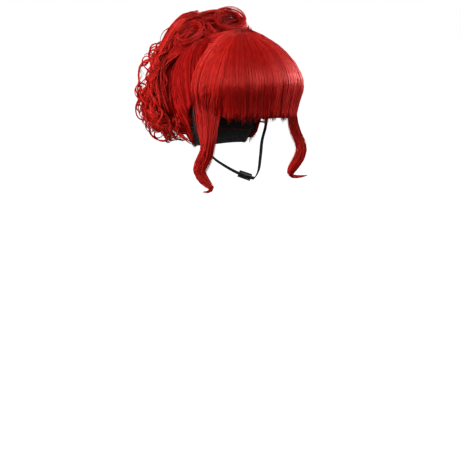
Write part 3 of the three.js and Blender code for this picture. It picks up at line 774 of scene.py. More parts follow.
def through(rows, count):
    """Rows of a table, smoothed to count rows along a curve through them."""
    ends = np.vstack([2 * rows[0] - rows[1], rows, 2 * rows[-1] - rows[-2]])
    spot = np.linspace(0, len(rows) - 1, count)
    low = np.minimum(spot.astype(int), len(rows) - 2)
    t = (spot - low)[:, None]
    a, b, c, d = (ends[low + i] for i in range(4))
    bent = (2 * a - 5 * b + 4 * c - d) * t ** 2
    return 0.5 * (2 * b + (c - a) * t + bent + (3 * b - a - 3 * c + d) * t ** 3)


for name, node, rows, side in (
    ("side_lock_right_strands", "side_lock_right", RIGHT_LOCK, -1),
    ("side_lock_left_strands", "side_lock_left", LEFT_LOCK, 1),
):
    heading = np.radians(rows[:, 5])
    along = unit(np.gradient(rows[:, :3], axis=0))
    across = square_to(np.stack([side * np.sin(heading), np.cos(heading), 0 * heading], -1), along)
    up = np.cross(along, across) * side
    rooted = len(LOCK_ROOT_SHARES)
    sizes = np.vstack([np.repeat(rows[:1, 3:5] * WISP_AT_ROOT, rooted, 0), rows[1:, 3:5] * WISP_BELOW])
    sizes[:rooted] *= LOCK_ROOT_SHARES[:, None] / LOCK_ROOT_SHARES[-1]
    broad, thin = np.maximum(through(sizes, LOCK_POINTS), WISP_LEAST).T
    gathered = ramp(LOCK_ROOT_SHARES, *LOCK_GATHERS) ** 1.5
    guides = []
    for _ in range(LOCK_WISPS):
        reach = math.sqrt(draw.random())
        turn = draw.uniform(0, 2 * np.pi) + np.linspace(0, 1.0, len(rows))
        a, b = reach * np.cos(turn), reach * np.sin(turn)
        swing = rows[:, :3] + across * (LOCK_FILL[0] * rows[:, 3] * a)[:, None]
        swing = swing + up * (LOCK_FILL[1] * rows[:, 4] * b)[:, None]
        swing[:len(LOCK_OVERLAY)] += up[:len(LOCK_OVERLAY)] * LOCK_OVERLAY
        angle = side * (LOCK_ROOT_ANGLE + LOCK_ROOT_SPAN * a[0] * (1 - LOCK_GATHER * gathered))
        root = outset(fringe_point, angle, LOCK_ROOT_SHARES, LOCK_ROOT_RISE[0] + LOCK_ROOT_RISE[1] * b[0])
        guides.append(through(np.vstack([root, swing[1:]]), LOCK_POINTS))
    guides = np.array(guides)
    ways = through(np.vstack([np.repeat(across[:1], rooted, 0), across[1:]]), LOCK_POINTS)
    paths = fill_locks(guides, ways, broad, thin, LOCK_STRANDS, draw, *LOCK_LOOSE)
    tone = lock_tones(LOCK_TONE, LOCK_WISPS, LOCK_STRANDS, draw)
    flyaways = fill_locks(guides[:FLYAWAYS], ways, FLYAWAY_SPREAD[0] * broad, FLYAWAY_SPREAD[1] * thin, 1,
                          draw, *FLYAWAY_LOOSE)
    half = np.repeat([FINE_HALF, FLYAWAY_HALF], [len(paths), FLYAWAYS])
    tone = np.append(tone, np.full(FLYAWAYS, FLYAWAY_TONE))
    # the painted shade along each strand
    painted_shade = LOCK_PAINTED_SHADE * np.exp(-((np.linspace(0, 1, LOCK_POINTS) - LOCK_PAINTED_SHADE_AT) / LOCK_PAINTED_SHADE_RUN) ** 2)
    lock = hair_piece(name, np.concatenate([paths, flyaways]), half, tone[:, None] - painted_shade, fibre)
    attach(lock, "root")
    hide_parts(node)

# Updo: the mass of curls pinned behind the crown. A padded body of matted fibre carries broad combed locks,
# ringlets set on thin rods, and loose open loops that have sprung out at its edge.
SMOOTH = np.array([(0, 0), (180, 0)])
SWELL = np.array([(0, 0), (25, 2), (50, 10), (84, 3), (112, 8), (138, 10), (160, 4), (180, 0)])
UPDO = {"y": 125, "z": -97, "half": (90, 81, 86), "swell": SWELL}
MOUND = {"y": 98, "z": -24, "half": (66, 46, 44), "swell": SMOOTH}
NAPE = {"y": 72, "z": -128, "half": (68, 62, 56), "swell": SMOOTH}
CORE_INSET = 12
MOUND_INSET = 5
HEAD_CLEAR = 4.5
SIGHT = np.array([0.57154, 0.78666, -0.23345])
# openings through the edge of the curls, and the hollow by the swept hair: the middle and the radius of each
OPENINGS = (
    (-67, 172, -61, 7), (-73, 175, -77, 5), (-86, 170, -125, 4.5), (-72, 135, -168, 6), (-60, 94, -31, 9),
)
draw = np.random.default_rng(47)


def ball_point(body, angle, down, grow):
    """A point over a rounded body of hair, at an angle round it and degrees down from its summit."""
    angle, down, grow = np.broadcast_arrays(angle, np.asarray(down, float), grow)
    plan = outward(angle) * np.sin(np.radians(down))[..., None]
    half = np.array(body["half"]) + (grow + eased(body["swell"], down))[..., None]
    return np.stack([
        half[..., 0] * plan[..., 0],
        body["y"] + half[..., 1] * plan[..., 1],
        body["z"] + half[..., 2] * np.cos(np.radians(down)),
    ], -1)


def round_body(body, angle, down, grow):
    """Direction round a body of hair."""
    return ball_point(body, angle + 1, down, grow) - ball_point(body, angle - 1, down, grow)


def degree_length(body, down):
    """Millimetres in a degree round a body of hair."""
    return body["half"][0] * np.maximum(np.sin(np.radians(down)), 0.3) * np.pi / 180


def outside_head(paths):
    """Paths with the points that lie within the cap moved straight out of it."""
    angle = np.degrees(np.arctan2(paths[..., 0], -paths[..., 1]))
    least = np.linalg.norm(head_point(angle, paths[..., 2], HEAD_CLEAR)[..., :2], axis=-1)
    reach = np.linalg.norm(paths[..., :2], axis=-1)
    push = np.maximum(1, least / np.maximum(reach, 1))
    return paths * np.stack([push, push, np.ones_like(push)], -1)


def updo_piece(name, paths, half, tone):
    """A piece of the updo's hair, clear of the head and without the strands that cross an opening."""
    paths = outside_head(paths)
    keep = np.ones(len(paths), bool)
    for *middle, radius in OPENINGS:
        offset = paths - middle
        offset = offset - (offset @ SIGHT)[..., None] * SIGHT
        keep &= np.linalg.norm(offset, axis=-1).min(1) > radius
    return hair_piece(name, paths[keep], half, tone[keep], fibre)


for name, body, inset in (("updo_core", UPDO, CORE_INSET), ("updo_mound", MOUND, MOUND_INSET)):
    ball = bmesh.new()
    ball.loops.layers.uv.new("OFBake")
    bmesh.ops.create_uvsphere(ball, u_segments=60, v_segments=32, radius=1, calc_uvs=True)
    bmesh.ops.scale(ball, vec=[(half - inset) * MM for half in body["half"]], verts=ball.verts)
    bmesh.ops.translate(ball, vec=(0, body["y"] * MM, body["z"] * MM), verts=ball.verts)
    for vertex, point in zip(ball.verts, outside_head(np.array([vertex.co for vertex in ball.verts]) / MM)):
        vertex.co = point * MM
    pad = add_piece(name, ball, under)
    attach(pad, "root")
    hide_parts("curl_mass")

# Waved locks: broad smooth locks of the updo, combed down from its top in slow waves and left loose below.
# Those that lie in the hollow beside the swept hair are painted darker at their roots, as the hollow's shade.
WAVED_LOCKS = 66
WAVED_STRANDS = 14
WAVED_POINTS = 14
WAVED_HALF = 1.0
WAVED_TONE = (0.76, 0.1, 0.13)
WAVED_LOOSE = (0.2, 0.2, 1.0)
WAVED_AROUND = (52, 256)
WAVED_FIRST = (12, 40)
WAVED_LAST = (115, 165)
WAVED_WAVES = (1.5, 2.4)
WAVED_SWING = (4, 8)
WAVED_DEPTH = (-6, 2)
WAVED_BROAD = (6, 10)
WAVED_THIN = (2.2, 3.5)
WAVED_PAINTED_SHADE = 0.55
WAVED_INNER = (76, 24)
WAVED_CLEARS = (0.45, 0.25)
share = np.linspace(0, 1, WAVED_POINTS)
each_lock = (WAVED_LOCKS, 1)
start = WAVED_AROUND[0] + WAVED_AROUND[1] * (np.arange(WAVED_LOCKS) + 0.5) / WAVED_LOCKS
start = start[:, None] + draw.normal(0, 3, each_lock)
first = draw.uniform(*WAVED_FIRST, each_lock)
last = draw.uniform(*WAVED_LAST, each_lock)
down = first + (last - first) * share
wave = 2 * np.pi * (draw.uniform(*WAVED_WAVES, each_lock) * share + draw.random(each_lock))
swing = draw.uniform(*WAVED_SWING, each_lock) * np.minimum(1, share * 2.5)
angle = start + swing * np.sin(wave) / degree_length(UPDO, down)
grow = draw.normal(*WAVED_DEPTH, each_lock) + 0.6 * swing * np.cos(wave)
taper = 0.35 + 0.65 * np.sin(np.pi * np.clip(share * 0.9 + 0.1, 0, 1))
broad = draw.uniform(*WAVED_BROAD, each_lock) * taper
thin = draw.uniform(*WAVED_THIN, each_lock) * taper
guides = ball_point(UPDO, angle, down, grow)
aside = round_body(UPDO, angle, down, grow)
paths = fill_locks(guides, unit(aside), broad, thin, WAVED_STRANDS, draw, *WAVED_LOOSE)
# painted shade in the hollow: the locks near the swept hair darken towards their roots
inner = ramp(np.abs(start[:, 0] - 180), *WAVED_INNER)
hollow_painted_shade = np.outer(np.repeat(inner, WAVED_STRANDS), 1 - ramp(share, *WAVED_CLEARS))
tone = lock_tones(WAVED_TONE, WAVED_LOCKS, WAVED_STRANDS, draw)
waved = updo_piece("updo_waved_locks", paths, WAVED_HALF, tone[:, None] - WAVED_PAINTED_SHADE * hollow_painted_shade)
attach(waved, "root")
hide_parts("curl_mass")

# Curls: ringlets and finer curls, set on thin rods and pinned over the updo, its mound and the nape.
# A row for each kind: body, count, strands, points, half strand, angles round, where they start and how long
# they run down it, turns, coil radius, half breadth, lift off the body.
CURLS = (
    ("updo_ringlets", UPDO, 80, 9, 16, 0.75,
     (72, 282), (24, 105), (45, 75), (1.2, 2.0), (7, 11), (3.5, 6), (-7, -1)),
    ("updo_low_ringlets", UPDO, 44, 6, 16, 0.7,
     (76, 284), (92, 130), (26, 40), (1.0, 1.8), (5, 8), (3, 5), (-6, 2)),
    ("updo_fine_curls", UPDO, 74, 6, 16, 0.55,
     (72, 284), (24, 125), (24, 48), (1.2, 2.0), (6, 10), (1.4, 2.6), (0, 7)),
    ("updo_right_curls", UPDO, 46, 9, 16, 0.65,
     (204, 266), (36, 112), (30, 52), (1.1, 1.8), (6, 10), (2.5, 4.5), (0, 7)),
    ("updo_left_curls", UPDO, 46, 9, 16, 0.65,
     (94, 156), (36, 112), (30, 52), (1.1, 1.8), (6, 10), (2.5, 4.5), (0, 7)),
    ("nape_ringlets", NAPE, 34, 8, 14, 0.7,
     (70, 290), (70, 110), (30, 45), (0.9, 1.6), (5, 8), (3, 5), (-4, 3)),
    ("mound_waves", MOUND, 64, 9, 14, 0.7,
     (-110, 250), (6, 56), (40, 70), (0.6, 1.3), (3, 6), (4, 7), (-4, 3)),
    ("mound_curl_ends", MOUND, 40, 3, 16, 0.5,
     (-100, 130), (8, 55), (25, 45), (0.9, 1.5), (4, 7), (0.8, 1.6), (1, 7)),
)
CURL_LOWEST = 168
CURL_TONE = (0.8, 0.12, 0.14)
CURL_LOOSE = (0.3, 0.25)
CURL_LEAN = 14
CURL_FLAT = 0.4
for name, body, count, strands, points, half, around, firsts, spans, turns, coils, breadths, lifts in CURLS:
    share = np.linspace(0, 1, points)
    each_lock = (count, 1)
    start = draw.uniform(*around, each_lock)
    first = draw.uniform(*firsts, each_lock)
    down = first + np.minimum(draw.uniform(*spans, each_lock), CURL_LOWEST - first) * share
    coil = draw.uniform(*coils, each_lock) * np.minimum(1, 0.3 + 1.5 * share)
    turn = 2 * np.pi * draw.uniform(*turns, each_lock) * draw.choice([-1, 1], each_lock) * share
    turn = turn + draw.uniform(0, 2 * np.pi, each_lock)
    lift = draw.uniform(*lifts, each_lock) + 0.8 * coil * np.cos(turn)
    start = start + draw.normal(0, CURL_LEAN, each_lock) * share
    guides = ball_point(body, start + coil * np.sin(turn) / degree_length(body, down), down, lift)
    axis = unit(ball_point(body, start, down + 1, 0) - ball_point(body, start, down - 1, 0))
    broad = draw.uniform(*breadths, each_lock) * np.minimum(1, 0.7 + 2 * share) * (1 - 0.6 * share ** 2)
    paths = fill_locks(guides, axis, broad, CURL_FLAT * broad, strands, draw, *CURL_LOOSE)
    curls = updo_piece(name, paths, half, lock_tones(CURL_TONE, count, strands, draw))
    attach(curls, "root")
    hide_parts("curl_mass")

# Open loops: thin wisps of the updo's curls that have sprung out of it and bend back into it.
# They stand all round its edge, so that light shows through them.
LOOPS = 64
LOOP_STRANDS = 7
LOOP_POINTS = 16
LOOP_OPEN = 140
LOOP_SUNK = 3
LOOP_TONE = (0.76, 0.12, 0.12)
LOOP_LOOSE = (0.1, 0.25)
LOOP_RADIUS = (6.5, 11)
LOOP_DOWN = (34, 148)
LOOP_STRETCH = (0.9, 1.5)
LOOP_AROUND = (62, 292)
LOOP_LEAN = 9
LOOP_BROAD = (1.4, 2.6)
LOOP_FLAT = 0.6
share = np.linspace(-1, 1, LOOP_POINTS)
each_lock = (LOOPS, 1)
radius = draw.uniform(*LOOP_RADIUS, each_lock)
turn = np.radians(LOOP_OPEN) * share
middle = draw.uniform(*LOOP_DOWN, each_lock)
stretch = draw.uniform(*LOOP_STRETCH, each_lock)
down = middle + np.degrees(radius * stretch * np.sin(turn) / UPDO["half"][2])
lift = -LOOP_SUNK + radius * (np.cos(turn) - math.cos(math.radians(LOOP_OPEN)))
start = draw.uniform(*LOOP_AROUND, each_lock) + draw.normal(0, LOOP_LEAN, each_lock) * share
guides = ball_point(UPDO, start, down, lift)
broad = draw.uniform(*LOOP_BROAD, each_lock)
across = round_body(UPDO, start, down, lift)
paths = fill_locks(guides, across, broad, LOOP_FLAT * broad, LOOP_STRANDS, draw, *LOOP_LOOSE)
loops = updo_piece("updo_open_loops", paths, FINE_HALF, lock_tones(LOOP_TONE, LOOPS, LOOP_STRANDS, draw))
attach(loops, "root")
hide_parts("curl_mass")

# Rose curls: flat rolls of hair wound round two fingers and pinned on top of the updo, five of them.
# Each is a ribbon of fibre in a loose spiral, with locks laid over its heart and stray arcs outside.
# A row for each: its node, middle, the way that it faces and leans, radius, depth, and how far it is dished.
ROSES = (
    ("rose_curl_front", (33, 58, 29), -20, 42, 28, 22, 5),
    ("rose_curl_right", (-47, 67, 6), -66, 42, 26, 14, 5),
    ("rose_curl_rear_right", (-22, 112, 31), -120, 22, 24, 20, -6),
    ("rose_curl_left", (66, 92, 0), 85, 50, 24, 15, 5),
    ("rose_curl_rear_left", (30, 122, 30), 140, 20, 24, 20, -6),
)
ROSE_TURNS = 1.7
ROSE_FAN = 2.2
ROSE_HEART = 0.35
ROSE_LAYERS = 8
ROSE_STRANDS = 10
ROSE_POINTS = 22
ROSE_THIN = 2.6
ROSE_HALF = 0.5
ROSE_LOOSE = (0.3, 0.3)
STRAY_ARCS = 2
STRAY_TURNS = 0.6
STRAY_LEVELS = (-0.3, 0.1)
HEART_LOCKS = 6
HEART_STRANDS = 6
HEART_GRAIN = np.array([0.73, -0.36, 0.58])
HEART_HALF = 0.75
HEART_LOOSE = (0.1, 0.3)
HEART_SPAN = 0.55
HEART_UNEVEN = 0.04
HEART_BEND = 0.16
HEART_BROAD = (0.13, 0.13, 0.2)
HEART_DEPTHS = (0.4, 0.7)
BACK_HALF = 1.2
BACK_SPREAD = 1.45
RIM_STRANDS = 18
RIM_TURNS = 1.1
RIM_REACH = 0.86
RIM_SIZE = (4.4, 2.4)
RIM_LOOSE = (0.2, 0.2)
SPIRAL_TONE = (0.46, 0.1)
# painted shade: the locks over the heart and at the back are darker, for the shade in the curl's middle
HEART_PAINTED_SHADE_TONE = (0.26, 0.12)
# painted light: the rim's lock is lighter, for the light that falls on the curl's rim
RIM_PAINTED_LIGHT_TONE = 0.7
ROSE_VARY = 0.13
draw = np.random.default_rng(59)

for node, middle, facing, lean, radius, deep, dish in ROSES:
    axis = np.append(outward(facing) * math.sin(math.radians(lean)), math.cos(math.radians(lean)))
    right = square_to(HEART_GRAIN, axis)
    ahead = np.cross(axis, right)
    share = np.linspace(0, 1, ROSE_POINTS)

    def on_rose(aside, forward, depth):
        """Points by their distances from the curl's middle: two across its face, and one out of it."""
        return middle + right * aside[..., None] + ahead * forward[..., None] + axis * depth[..., None]

    # the spiral's layers, then the stray arcs
    level = (np.arange(ROSE_LAYERS) + 0.5) / ROSE_LAYERS
    level = np.append(level, draw.uniform(*STRAY_LEVELS, STRAY_ARCS))[:, None]
    stray = np.append(np.zeros(ROSE_LAYERS), np.ones(STRAY_ARCS))[:, None]
    turn = 2 * np.pi * (ROSE_TURNS - (ROSE_TURNS - STRAY_TURNS) * stray) * share
    turn = turn + ROSE_FAN * level + draw.normal(0, 0.3, level.shape)
    turn = turn + stray * draw.uniform(0, 6, level.shape)
    wound = ROSE_HEART + (1 - ROSE_HEART) * share
    reach = radius * (wound * (1 - stray) + (0.9 + 0.2 * np.sin(np.pi * share)) * stray)
    reach = reach + draw.normal(0, 0.7, level.shape)
    reach = reach * (1 + 0.05 * np.sin(2 * turn + draw.uniform(0, 6)))
    if dish < 0:
        reach = reach * np.sqrt(np.clip(0.25 + 1.1 * level, 0.1, 1))
    depth = -deep * level - dish * (1 - (reach / radius) ** 2) - 0.3 * deep * ramp(share, 0.8, 0.2)
    depth = depth + draw.normal(0, 1.0, level.shape) * np.sin(1.5 * turn)
    guides = on_rose(reach * np.cos(turn), reach * np.sin(turn), depth)
    broad = (0.8 * deep / ROSE_LAYERS) * (1 - 0.6 * stray)
    thin = ROSE_THIN * (1 - 0.7 * stray)
    spiral = fill_locks(guides, axis, broad, thin, ROSE_STRANDS, draw, *ROSE_LOOSE)
    spiral_tone = np.repeat(draw.normal(*SPIRAL_TONE, len(level)), ROSE_STRANDS)

    # the locks laid over its heart, crossed by others below, and those that close its back
    run = np.linspace(-1, 1, ROSE_POINTS)
    offset = np.linspace(-HEART_SPAN, HEART_SPAN, HEART_LOCKS)[:, None]
    offset = radius * (offset + draw.normal(0, HEART_UNEVEN, (HEART_LOCKS, 1)))
    aside = offset + HEART_BEND * radius * (1 - run ** 2) * draw.choice([-1, 1], (HEART_LOCKS, 1))
    depth = -0.8 * dish - 2 + 2.5 * (1 - run ** 2) - 7 * run ** 4
    along = 0.85 * np.sqrt(radius ** 2 - offset ** 2) * run
    along_back = 0.95 * np.sqrt(radius ** 2 - (BACK_SPREAD * offset) ** 2) * run
    guides = np.concatenate([
        on_rose(along, aside, depth),
        on_rose(aside, along, depth - HEART_DEPTHS[0] * deep),
        on_rose(along_back, BACK_SPREAD * aside, depth - HEART_DEPTHS[1] * deep),
    ])
    broad = np.repeat(HEART_BROAD, HEART_LOCKS)[:, None] * radius
    across = np.cross(axis, right + ahead)
    hearts = fill_locks(guides, across, broad, 0.5 * broad, HEART_STRANDS, draw, *HEART_LOOSE)
    heart_painted_shade_tone = np.repeat(draw.normal(*HEART_PAINTED_SHADE_TONE, len(guides)), HEART_STRANDS)

    # the lock that closes its rim
    turn = 2 * np.pi * RIM_TURNS * share + draw.uniform(2.5, 3.5)
    reach = radius * (RIM_REACH + 0.03 * np.sin(2 * turn))
    rim = on_rose(reach * np.cos(turn), reach * np.sin(turn), 0 * turn)
    rims = fill_locks(rim[None], axis, *RIM_SIZE, RIM_STRANDS, draw, *RIM_LOOSE)

    paths = np.concatenate([spiral, hearts, rims])
    tone = np.concatenate([spiral_tone, heart_painted_shade_tone, np.full(RIM_STRANDS, RIM_PAINTED_LIGHT_TONE)])
    tone = tone + draw.normal(0, ROSE_VARY, len(paths))
    crossed = 2 * HEART_LOCKS * HEART_STRANDS
    halves = [ROSE_HALF, HEART_HALF, BACK_HALF, ROSE_HALF]
    half = np.repeat(halves, [len(spiral), crossed, len(hearts) - crossed, RIM_STRANDS])
    rose = hair_piece(node + "_strands", paths, half, tone, fibre)
    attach(rose, "root")
    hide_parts(node)

# Pinned locks: the locks laid by hand between the rose curls and over the updo's sides, and held by hairpins.
# A row for each group: count, strands, spread, half breadth, sway, and the points that it runs through.
PINNED_LOCKS = {
    "over the rear curl": (12, 14, 12, 3.6, 2.0, (
        (-2, 102, 30), (-22, 106, 36), (-42, 108, 24), (-56, 112, 8), (-68, 118, -16), (-78, 128, -42),
        (-84, 138, -66))),
    "behind the right curl": (6, 12, 7, 3.0, 1.5, (
        (-36, 90, 10), (-52, 102, -4), (-62, 112, -18), (-72, 122, -36), (-80, 130, -58))),
    "fall behind the curls": (12, 12, 34, 4.0, 3.0, (
        (0, 116, 22), (0, 134, 9), (0, 153, -7), (0, 174, -25), (0, 192, -49), (0, 204, -78))),
    "between the curls": (9, 12, 9, 2.7, 2.0, (
        (34, 80, 39), (22, 88, 41), (8, 96, 39), (-4, 103, 32), (-16, 108, 20))),
    "under the arch": (8, 12, 11, 4.0, 2.0, ((38, 80, 29), (22, 88, 33), (6, 96, 31), (-8, 103, 25))),
    "below the arch": (8, 12, 13, 4.5, 2.0, ((42, 84, 16), (24, 92, 23), (6, 99, 23), (-12, 104, 16))),
    "ends by the front curl": (7, 4, 7, 2.1, 2.0, ((50, 60, 2), (56, 48, 6), (59, 42, 11), (57, 39, 17))),
    "inner sweep": (9, 14, 8, 3.2, 1.5, (
        (-35, 78, -13), (-49, 87, -23), (-63, 104, -37), (-73, 115, -55), (-81, 109, -80), (-80, 96, -112),
        (-73, 92, -134))),
    "outer sweep": (9, 14, 8, 3.2, 1.5, (
        (-44, 83, -17), (-59, 98, -27), (-69, 117, -40), (-78, 130, -61), (-83, 128, -88), (-83, 117, -115),
        (-76, 109, -135))),
    "side ring": (3, 13, 1.8, 2.4, 0.5, (
        (-63, 137, -41), (-69, 160, -42), (-74, 181, -47), (-78, 186, -61), (-80, 183, -77), (-80, 176, -92),
        (-79, 156, -100), (-77, 129, -100))),
    "across the ring": (2, 5, 2.0, 1.0, 0.5, (
        (-73, 185, -46), (-68, 173, -58), (-62, 153, -68), (-61, 132, -72))),
    "back across the ring": (2, 5, 2.0, 1.0, 0.5, (
        (-80, 178, -84), (-71, 172, -73), (-63, 161, -68), (-60, 142, -59))),
    "tall loop": (2, 12, 1.4, 2.0, 0.5, (
        (-74, 154, -93), (-81, 170, -103), (-89, 177, -118), (-92, 175, -132), (-90, 168, -143),
        (-86, 147, -145), (-83, 122, -139))),
    "inside the tall loop": (1, 5, 1.0, 1.0, 0.5, (
        (-75, 153, -98), (-81, 167, -108), (-87, 173, -120), (-89, 170, -132), (-88, 161, -142),
        (-84, 139, -147))),
    "round loop": (2, 12, 1.2, 2.4, 0.3, (
        (-75, 121, -143), (-81, 142, -150), (-82, 146, -161), (-80, 145, -170), (-74, 138, -178),
        (-66, 123, -180), (-62, 103, -173))),
    "top of the round loop": (2, 6, 2.0, 1.5, 0.5, (
        (-84, 148, -152), (-80, 134, -156), (-72, 124, -161), (-65, 116, -171), (-60, 107, -179))),
    "low wave": (8, 14, 7, 3.4, 1.5, (
        (-87, 148, -124), (-87, 135, -135), (-82, 119, -142), (-73, 104, -145), (-62, 92, -141))),
    "lower wave": (8, 14, 6, 3.0, 1.5, (
        (-85, 137, -140), (-81, 121, -150), (-73, 104, -154), (-61, 91, -152))),
    "low ends": (6, 8, 5, 2.0, 1.5, ((-70, 103, -149), (-61, 91, -160), (-56, 74, -171), (-51, 57, -180))),
    "loose arc": (2, 3, 2.0, 0.8, 0.3, (
        (-52, 101, 16), (-58, 111, 14), (-64, 120, 8), (-68, 125, -2), (-68, 127, -12))),
    "behind the front curl": (8, 12, 8, 3.6, 1.0, (
        (52, 52, 8), (57, 55, 22), (57, 66, 33), (47, 77, 40), (31, 85, 40))),
}
PIN_POINTS = 15
PIN_HALF = 0.65
PIN_TONE = (0.7, 0.1, 0.12)
PIN_LOOSE = (0.25, 0.25, 0.8)
PIN_WAVES = (0.8, 1.5)
PIN_UNEVEN = 0.15
PIN_ROUND = 0.2
PIN_FLAT = 0.5
HAIR_MIDDLE = np.array([0, 105, -80])
draw = np.random.default_rng(61)
laid, tones_laid = [], []
for count, strands, spread, breadth, sway, route in PINNED_LOCKS.values():
    line = through(np.array(route, float), PIN_POINTS)
    share = np.linspace(0, 1, PIN_POINTS)[:, None]
    along = unit(np.gradient(line, axis=0))
    up = square_to(line - HAIR_MIDDLE, along)
    across = np.cross(along, up)
    each_lock = (count, 1, 1)
    shift = spread * (2 * (np.arange(count) + draw.random(count)) / count - 1)[:, None, None]
    wave = np.sin(2 * np.pi * (draw.uniform(*PIN_WAVES, each_lock) * share + draw.random(each_lock)))
    rise = draw.normal(0, PIN_UNEVEN * spread, each_lock) - PIN_ROUND * shift ** 2 / spread
    guides = line + across * (shift + sway * wave) + up * rise
    broad = breadth * (1 - 0.5 * share[:, 0] ** 2)
    paths = fill_locks(guides, across, broad, PIN_FLAT * broad, strands, draw, *PIN_LOOSE)
    laid.append(outside_head(paths))
    tones_laid.append(lock_tones(PIN_TONE, count, strands, draw))
pinned = hair_piece("pinned_locks", np.concatenate(laid), PIN_HALF, np.concatenate(tones_laid), fibre)
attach(pinned, "root")
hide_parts("curl_mass")

# Chin strap: flat black elastic from ear to ear under the jaw, sewn to the edge elastic at both ends.
# It is a narrow woven tape, the same as the cap's edge, and it lies flat against the jaw.
STRAP_ROUTE = np.array([
    (78.6, 12.3, -113.5), (77, 12, -125.3), (75.5, 12, -140), (72, 11, -156), (62, 7, -177),
    (50, -5, -196), (38, -18, -208), (22, -35, -220), (4, -49, -228),
])
STRAP_BROAD = 7
STRAP_THIN = 1.3
STRAP_WALL = 1.2
STRAP_CROWN = 0.25
STRAP_STEPS = 180
STRAP_COLUMNS = 6
strap_line = through(np.vstack([STRAP_ROUTE * [-1, 1, 1], STRAP_ROUTE[::-1]]), STRAP_STEPS + 1)
strap_along = unit(np.gradient(strap_line, axis=0))
strap_away = np.minimum(strap_line - [0, 0, HEAD_WIDEST], [np.inf, 0, 0]) / [1, 1, 3]
strap_away = square_to(strap_away, strap_along)
strap_across = np.cross(strap_along, strap_away)
strap_run = np.append(0, np.cumsum(np.linalg.norm(np.diff(strap_line, axis=0), axis=1)))


def strap_place(across, down):
    row = np.rint(down * STRAP_STEPS).astype(int)
    crown = STRAP_THIN / 2 - STRAP_CROWN * (2 * across - 1) ** 4
    aside = STRAP_BROAD * (across - 0.5)
    return strap_line[row] + strap_across[row] * aside[:, None] + strap_away[row] * crown[:, None]


strap_mesh = shaped_grid(STRAP_COLUMNS, STRAP_STEPS, strap_place, (STRAP_BROAD, strap_run[-1]))
strap = add_piece("chin_strap_elastic", strap_mesh, elastic, STRAP_WALL)
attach(strap, "root")
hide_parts("chin_strap")

# Strap slider: the small black buckle that sets the strap's length, moulded in one piece of acetal.
# The strap runs between its two rails, over the bars at its ends and under the bar in its middle.
SLIDER_ALONG = 22
SLIDER_ACROSS = 13
SLIDER_DEEP = 5.5
SLIDER_FROM_MIDDLE = 16
SLIDER_ROUND = 0.55
RAIL = 2.4
BAR_DEEP = 1.9
BAR_ALONG = 3
ACETAL_BLACK = "#121214"
ACETAL_GREY = "#1E1E21"
ACETAL_GRAIN = 0.9
ACETAL_RELIEF = (0.15, 0.1)

# Moulded acetal: black plastic with a satin skin, faintly mottled where it has been handled
acetal, shader = new_material("moulded_acetal", Roughness=0.38)
where = add_node(acetal, "ShaderNodeTexCoord").outputs["Object"]
grain = add_node(acetal, "ShaderNodeTexNoise", {"Vector": where, "Scale": 1 / (ACETAL_GRAIN * MM)})
two_tone(acetal, shader, grain.outputs["Fac"], ACETAL_BLACK, ACETAL_GREY, *ACETAL_RELIEF)

rail_aside = (SLIDER_ACROSS - RAIL) / 2
bar_along = (SLIDER_ALONG - BAR_ALONG) / 2
bar_away = (SLIDER_DEEP - BAR_DEEP) / 2
bar_across = SLIDER_ACROSS - RAIL
slider_mesh = bmesh.new()
for at, size in (
    ((0, rail_aside, 0), (SLIDER_ALONG, RAIL, SLIDER_DEEP)),
    ((0, -rail_aside, 0), (SLIDER_ALONG, RAIL, SLIDER_DEEP)),
    ((bar_along - SLIDER_ROUND, 0, -bar_away), (BAR_ALONG, bar_across, BAR_DEEP)),
    ((SLIDER_ROUND - bar_along, 0, -bar_away), (BAR_ALONG, bar_across, BAR_DEEP)),
    ((0, 0, bar_away), (2 * BAR_ALONG, bar_across, BAR_DEEP)),
):
    bar = bmesh.ops.create_cube(slider_mesh, size=1)["verts"]
    bmesh.ops.scale(slider_mesh, vec=size, verts=bar)
    bmesh.ops.translate(slider_mesh, vec=at, verts=bar)
bmesh.ops.bevel(slider_mesh, geom=slider_mesh.edges[:], offset=SLIDER_ROUND, segments=3, profile=0.5,
                affect="EDGES", material=-1)
for vertex in slider_mesh.verts:
    run = strap_run[-1] / 2 - SLIDER_FROM_MIDDLE + vertex.co.x
    line, aside, away = (
        np.array([np.interp(run, strap_run, values[:, i]) for i in range(3)])
        for values in (strap_line, strap_across, strap_away)
    )
    vertex.co = (line + aside * vertex.co.y + away * vertex.co.z) * MM
slider = add_piece("slider_buckle", slider_mesh, acetal)
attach(slider, "root")
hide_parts("strap_slider")

# Strap ties: a short narrow elastic each side, sewn from the strap back to the edge elastic behind the ear.
# They hold the strap off the ear, and are the same woven tape, cut thinner.
TIE_HEIGHT = -146.0
TIE_BROAD = 3
TIE_CROWN = 0.2
TIE_SEWN = 0.3
TIE_STEPS = 24
TIE_COLUMNS = 4
for name, node, side in (
    ("tie_right_elastic", "strap_tie_right", -1),
    ("tie_left_elastic", "strap_tie_left", 1),
):
    row = np.argmax(strap_line[:, 2] < TIE_HEIGHT)
    row = row if side < 0 else STRAP_STEPS - row
    start = strap_line[row] + [0, STRAP_BROAD / 2 - TIE_SEWN, 0]
    behind = np.linspace(90, 150, 600)
    behind = side * behind[np.argmax(cap_edge(behind) - BAND_TALL / 2 < TIE_HEIGHT)]
    end = head_point(np.array(behind), np.array(TIE_HEIGHT), BAND_WALL / 2)
    along = unit(end - start)
    away = square_to(strap_away[row], along)
    aside = np.cross(along, away)

    def tie_place(across, down):
        crown = STRAP_THIN / 2 - TIE_CROWN * (2 * across - 1) ** 4
        flat = start + (end - start) * down[:, None]
        return flat + aside * (TIE_BROAD * (across - 0.5))[:, None] + away * crown[:, None]

    tie_mesh = shaped_grid(TIE_COLUMNS, TIE_STEPS, tie_place, (TIE_BROAD, np.linalg.norm(end - start)))
    tie = add_piece(name, tie_mesh, elastic, STRAP_WALL)
    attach(tie, "root")
    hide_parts(node)

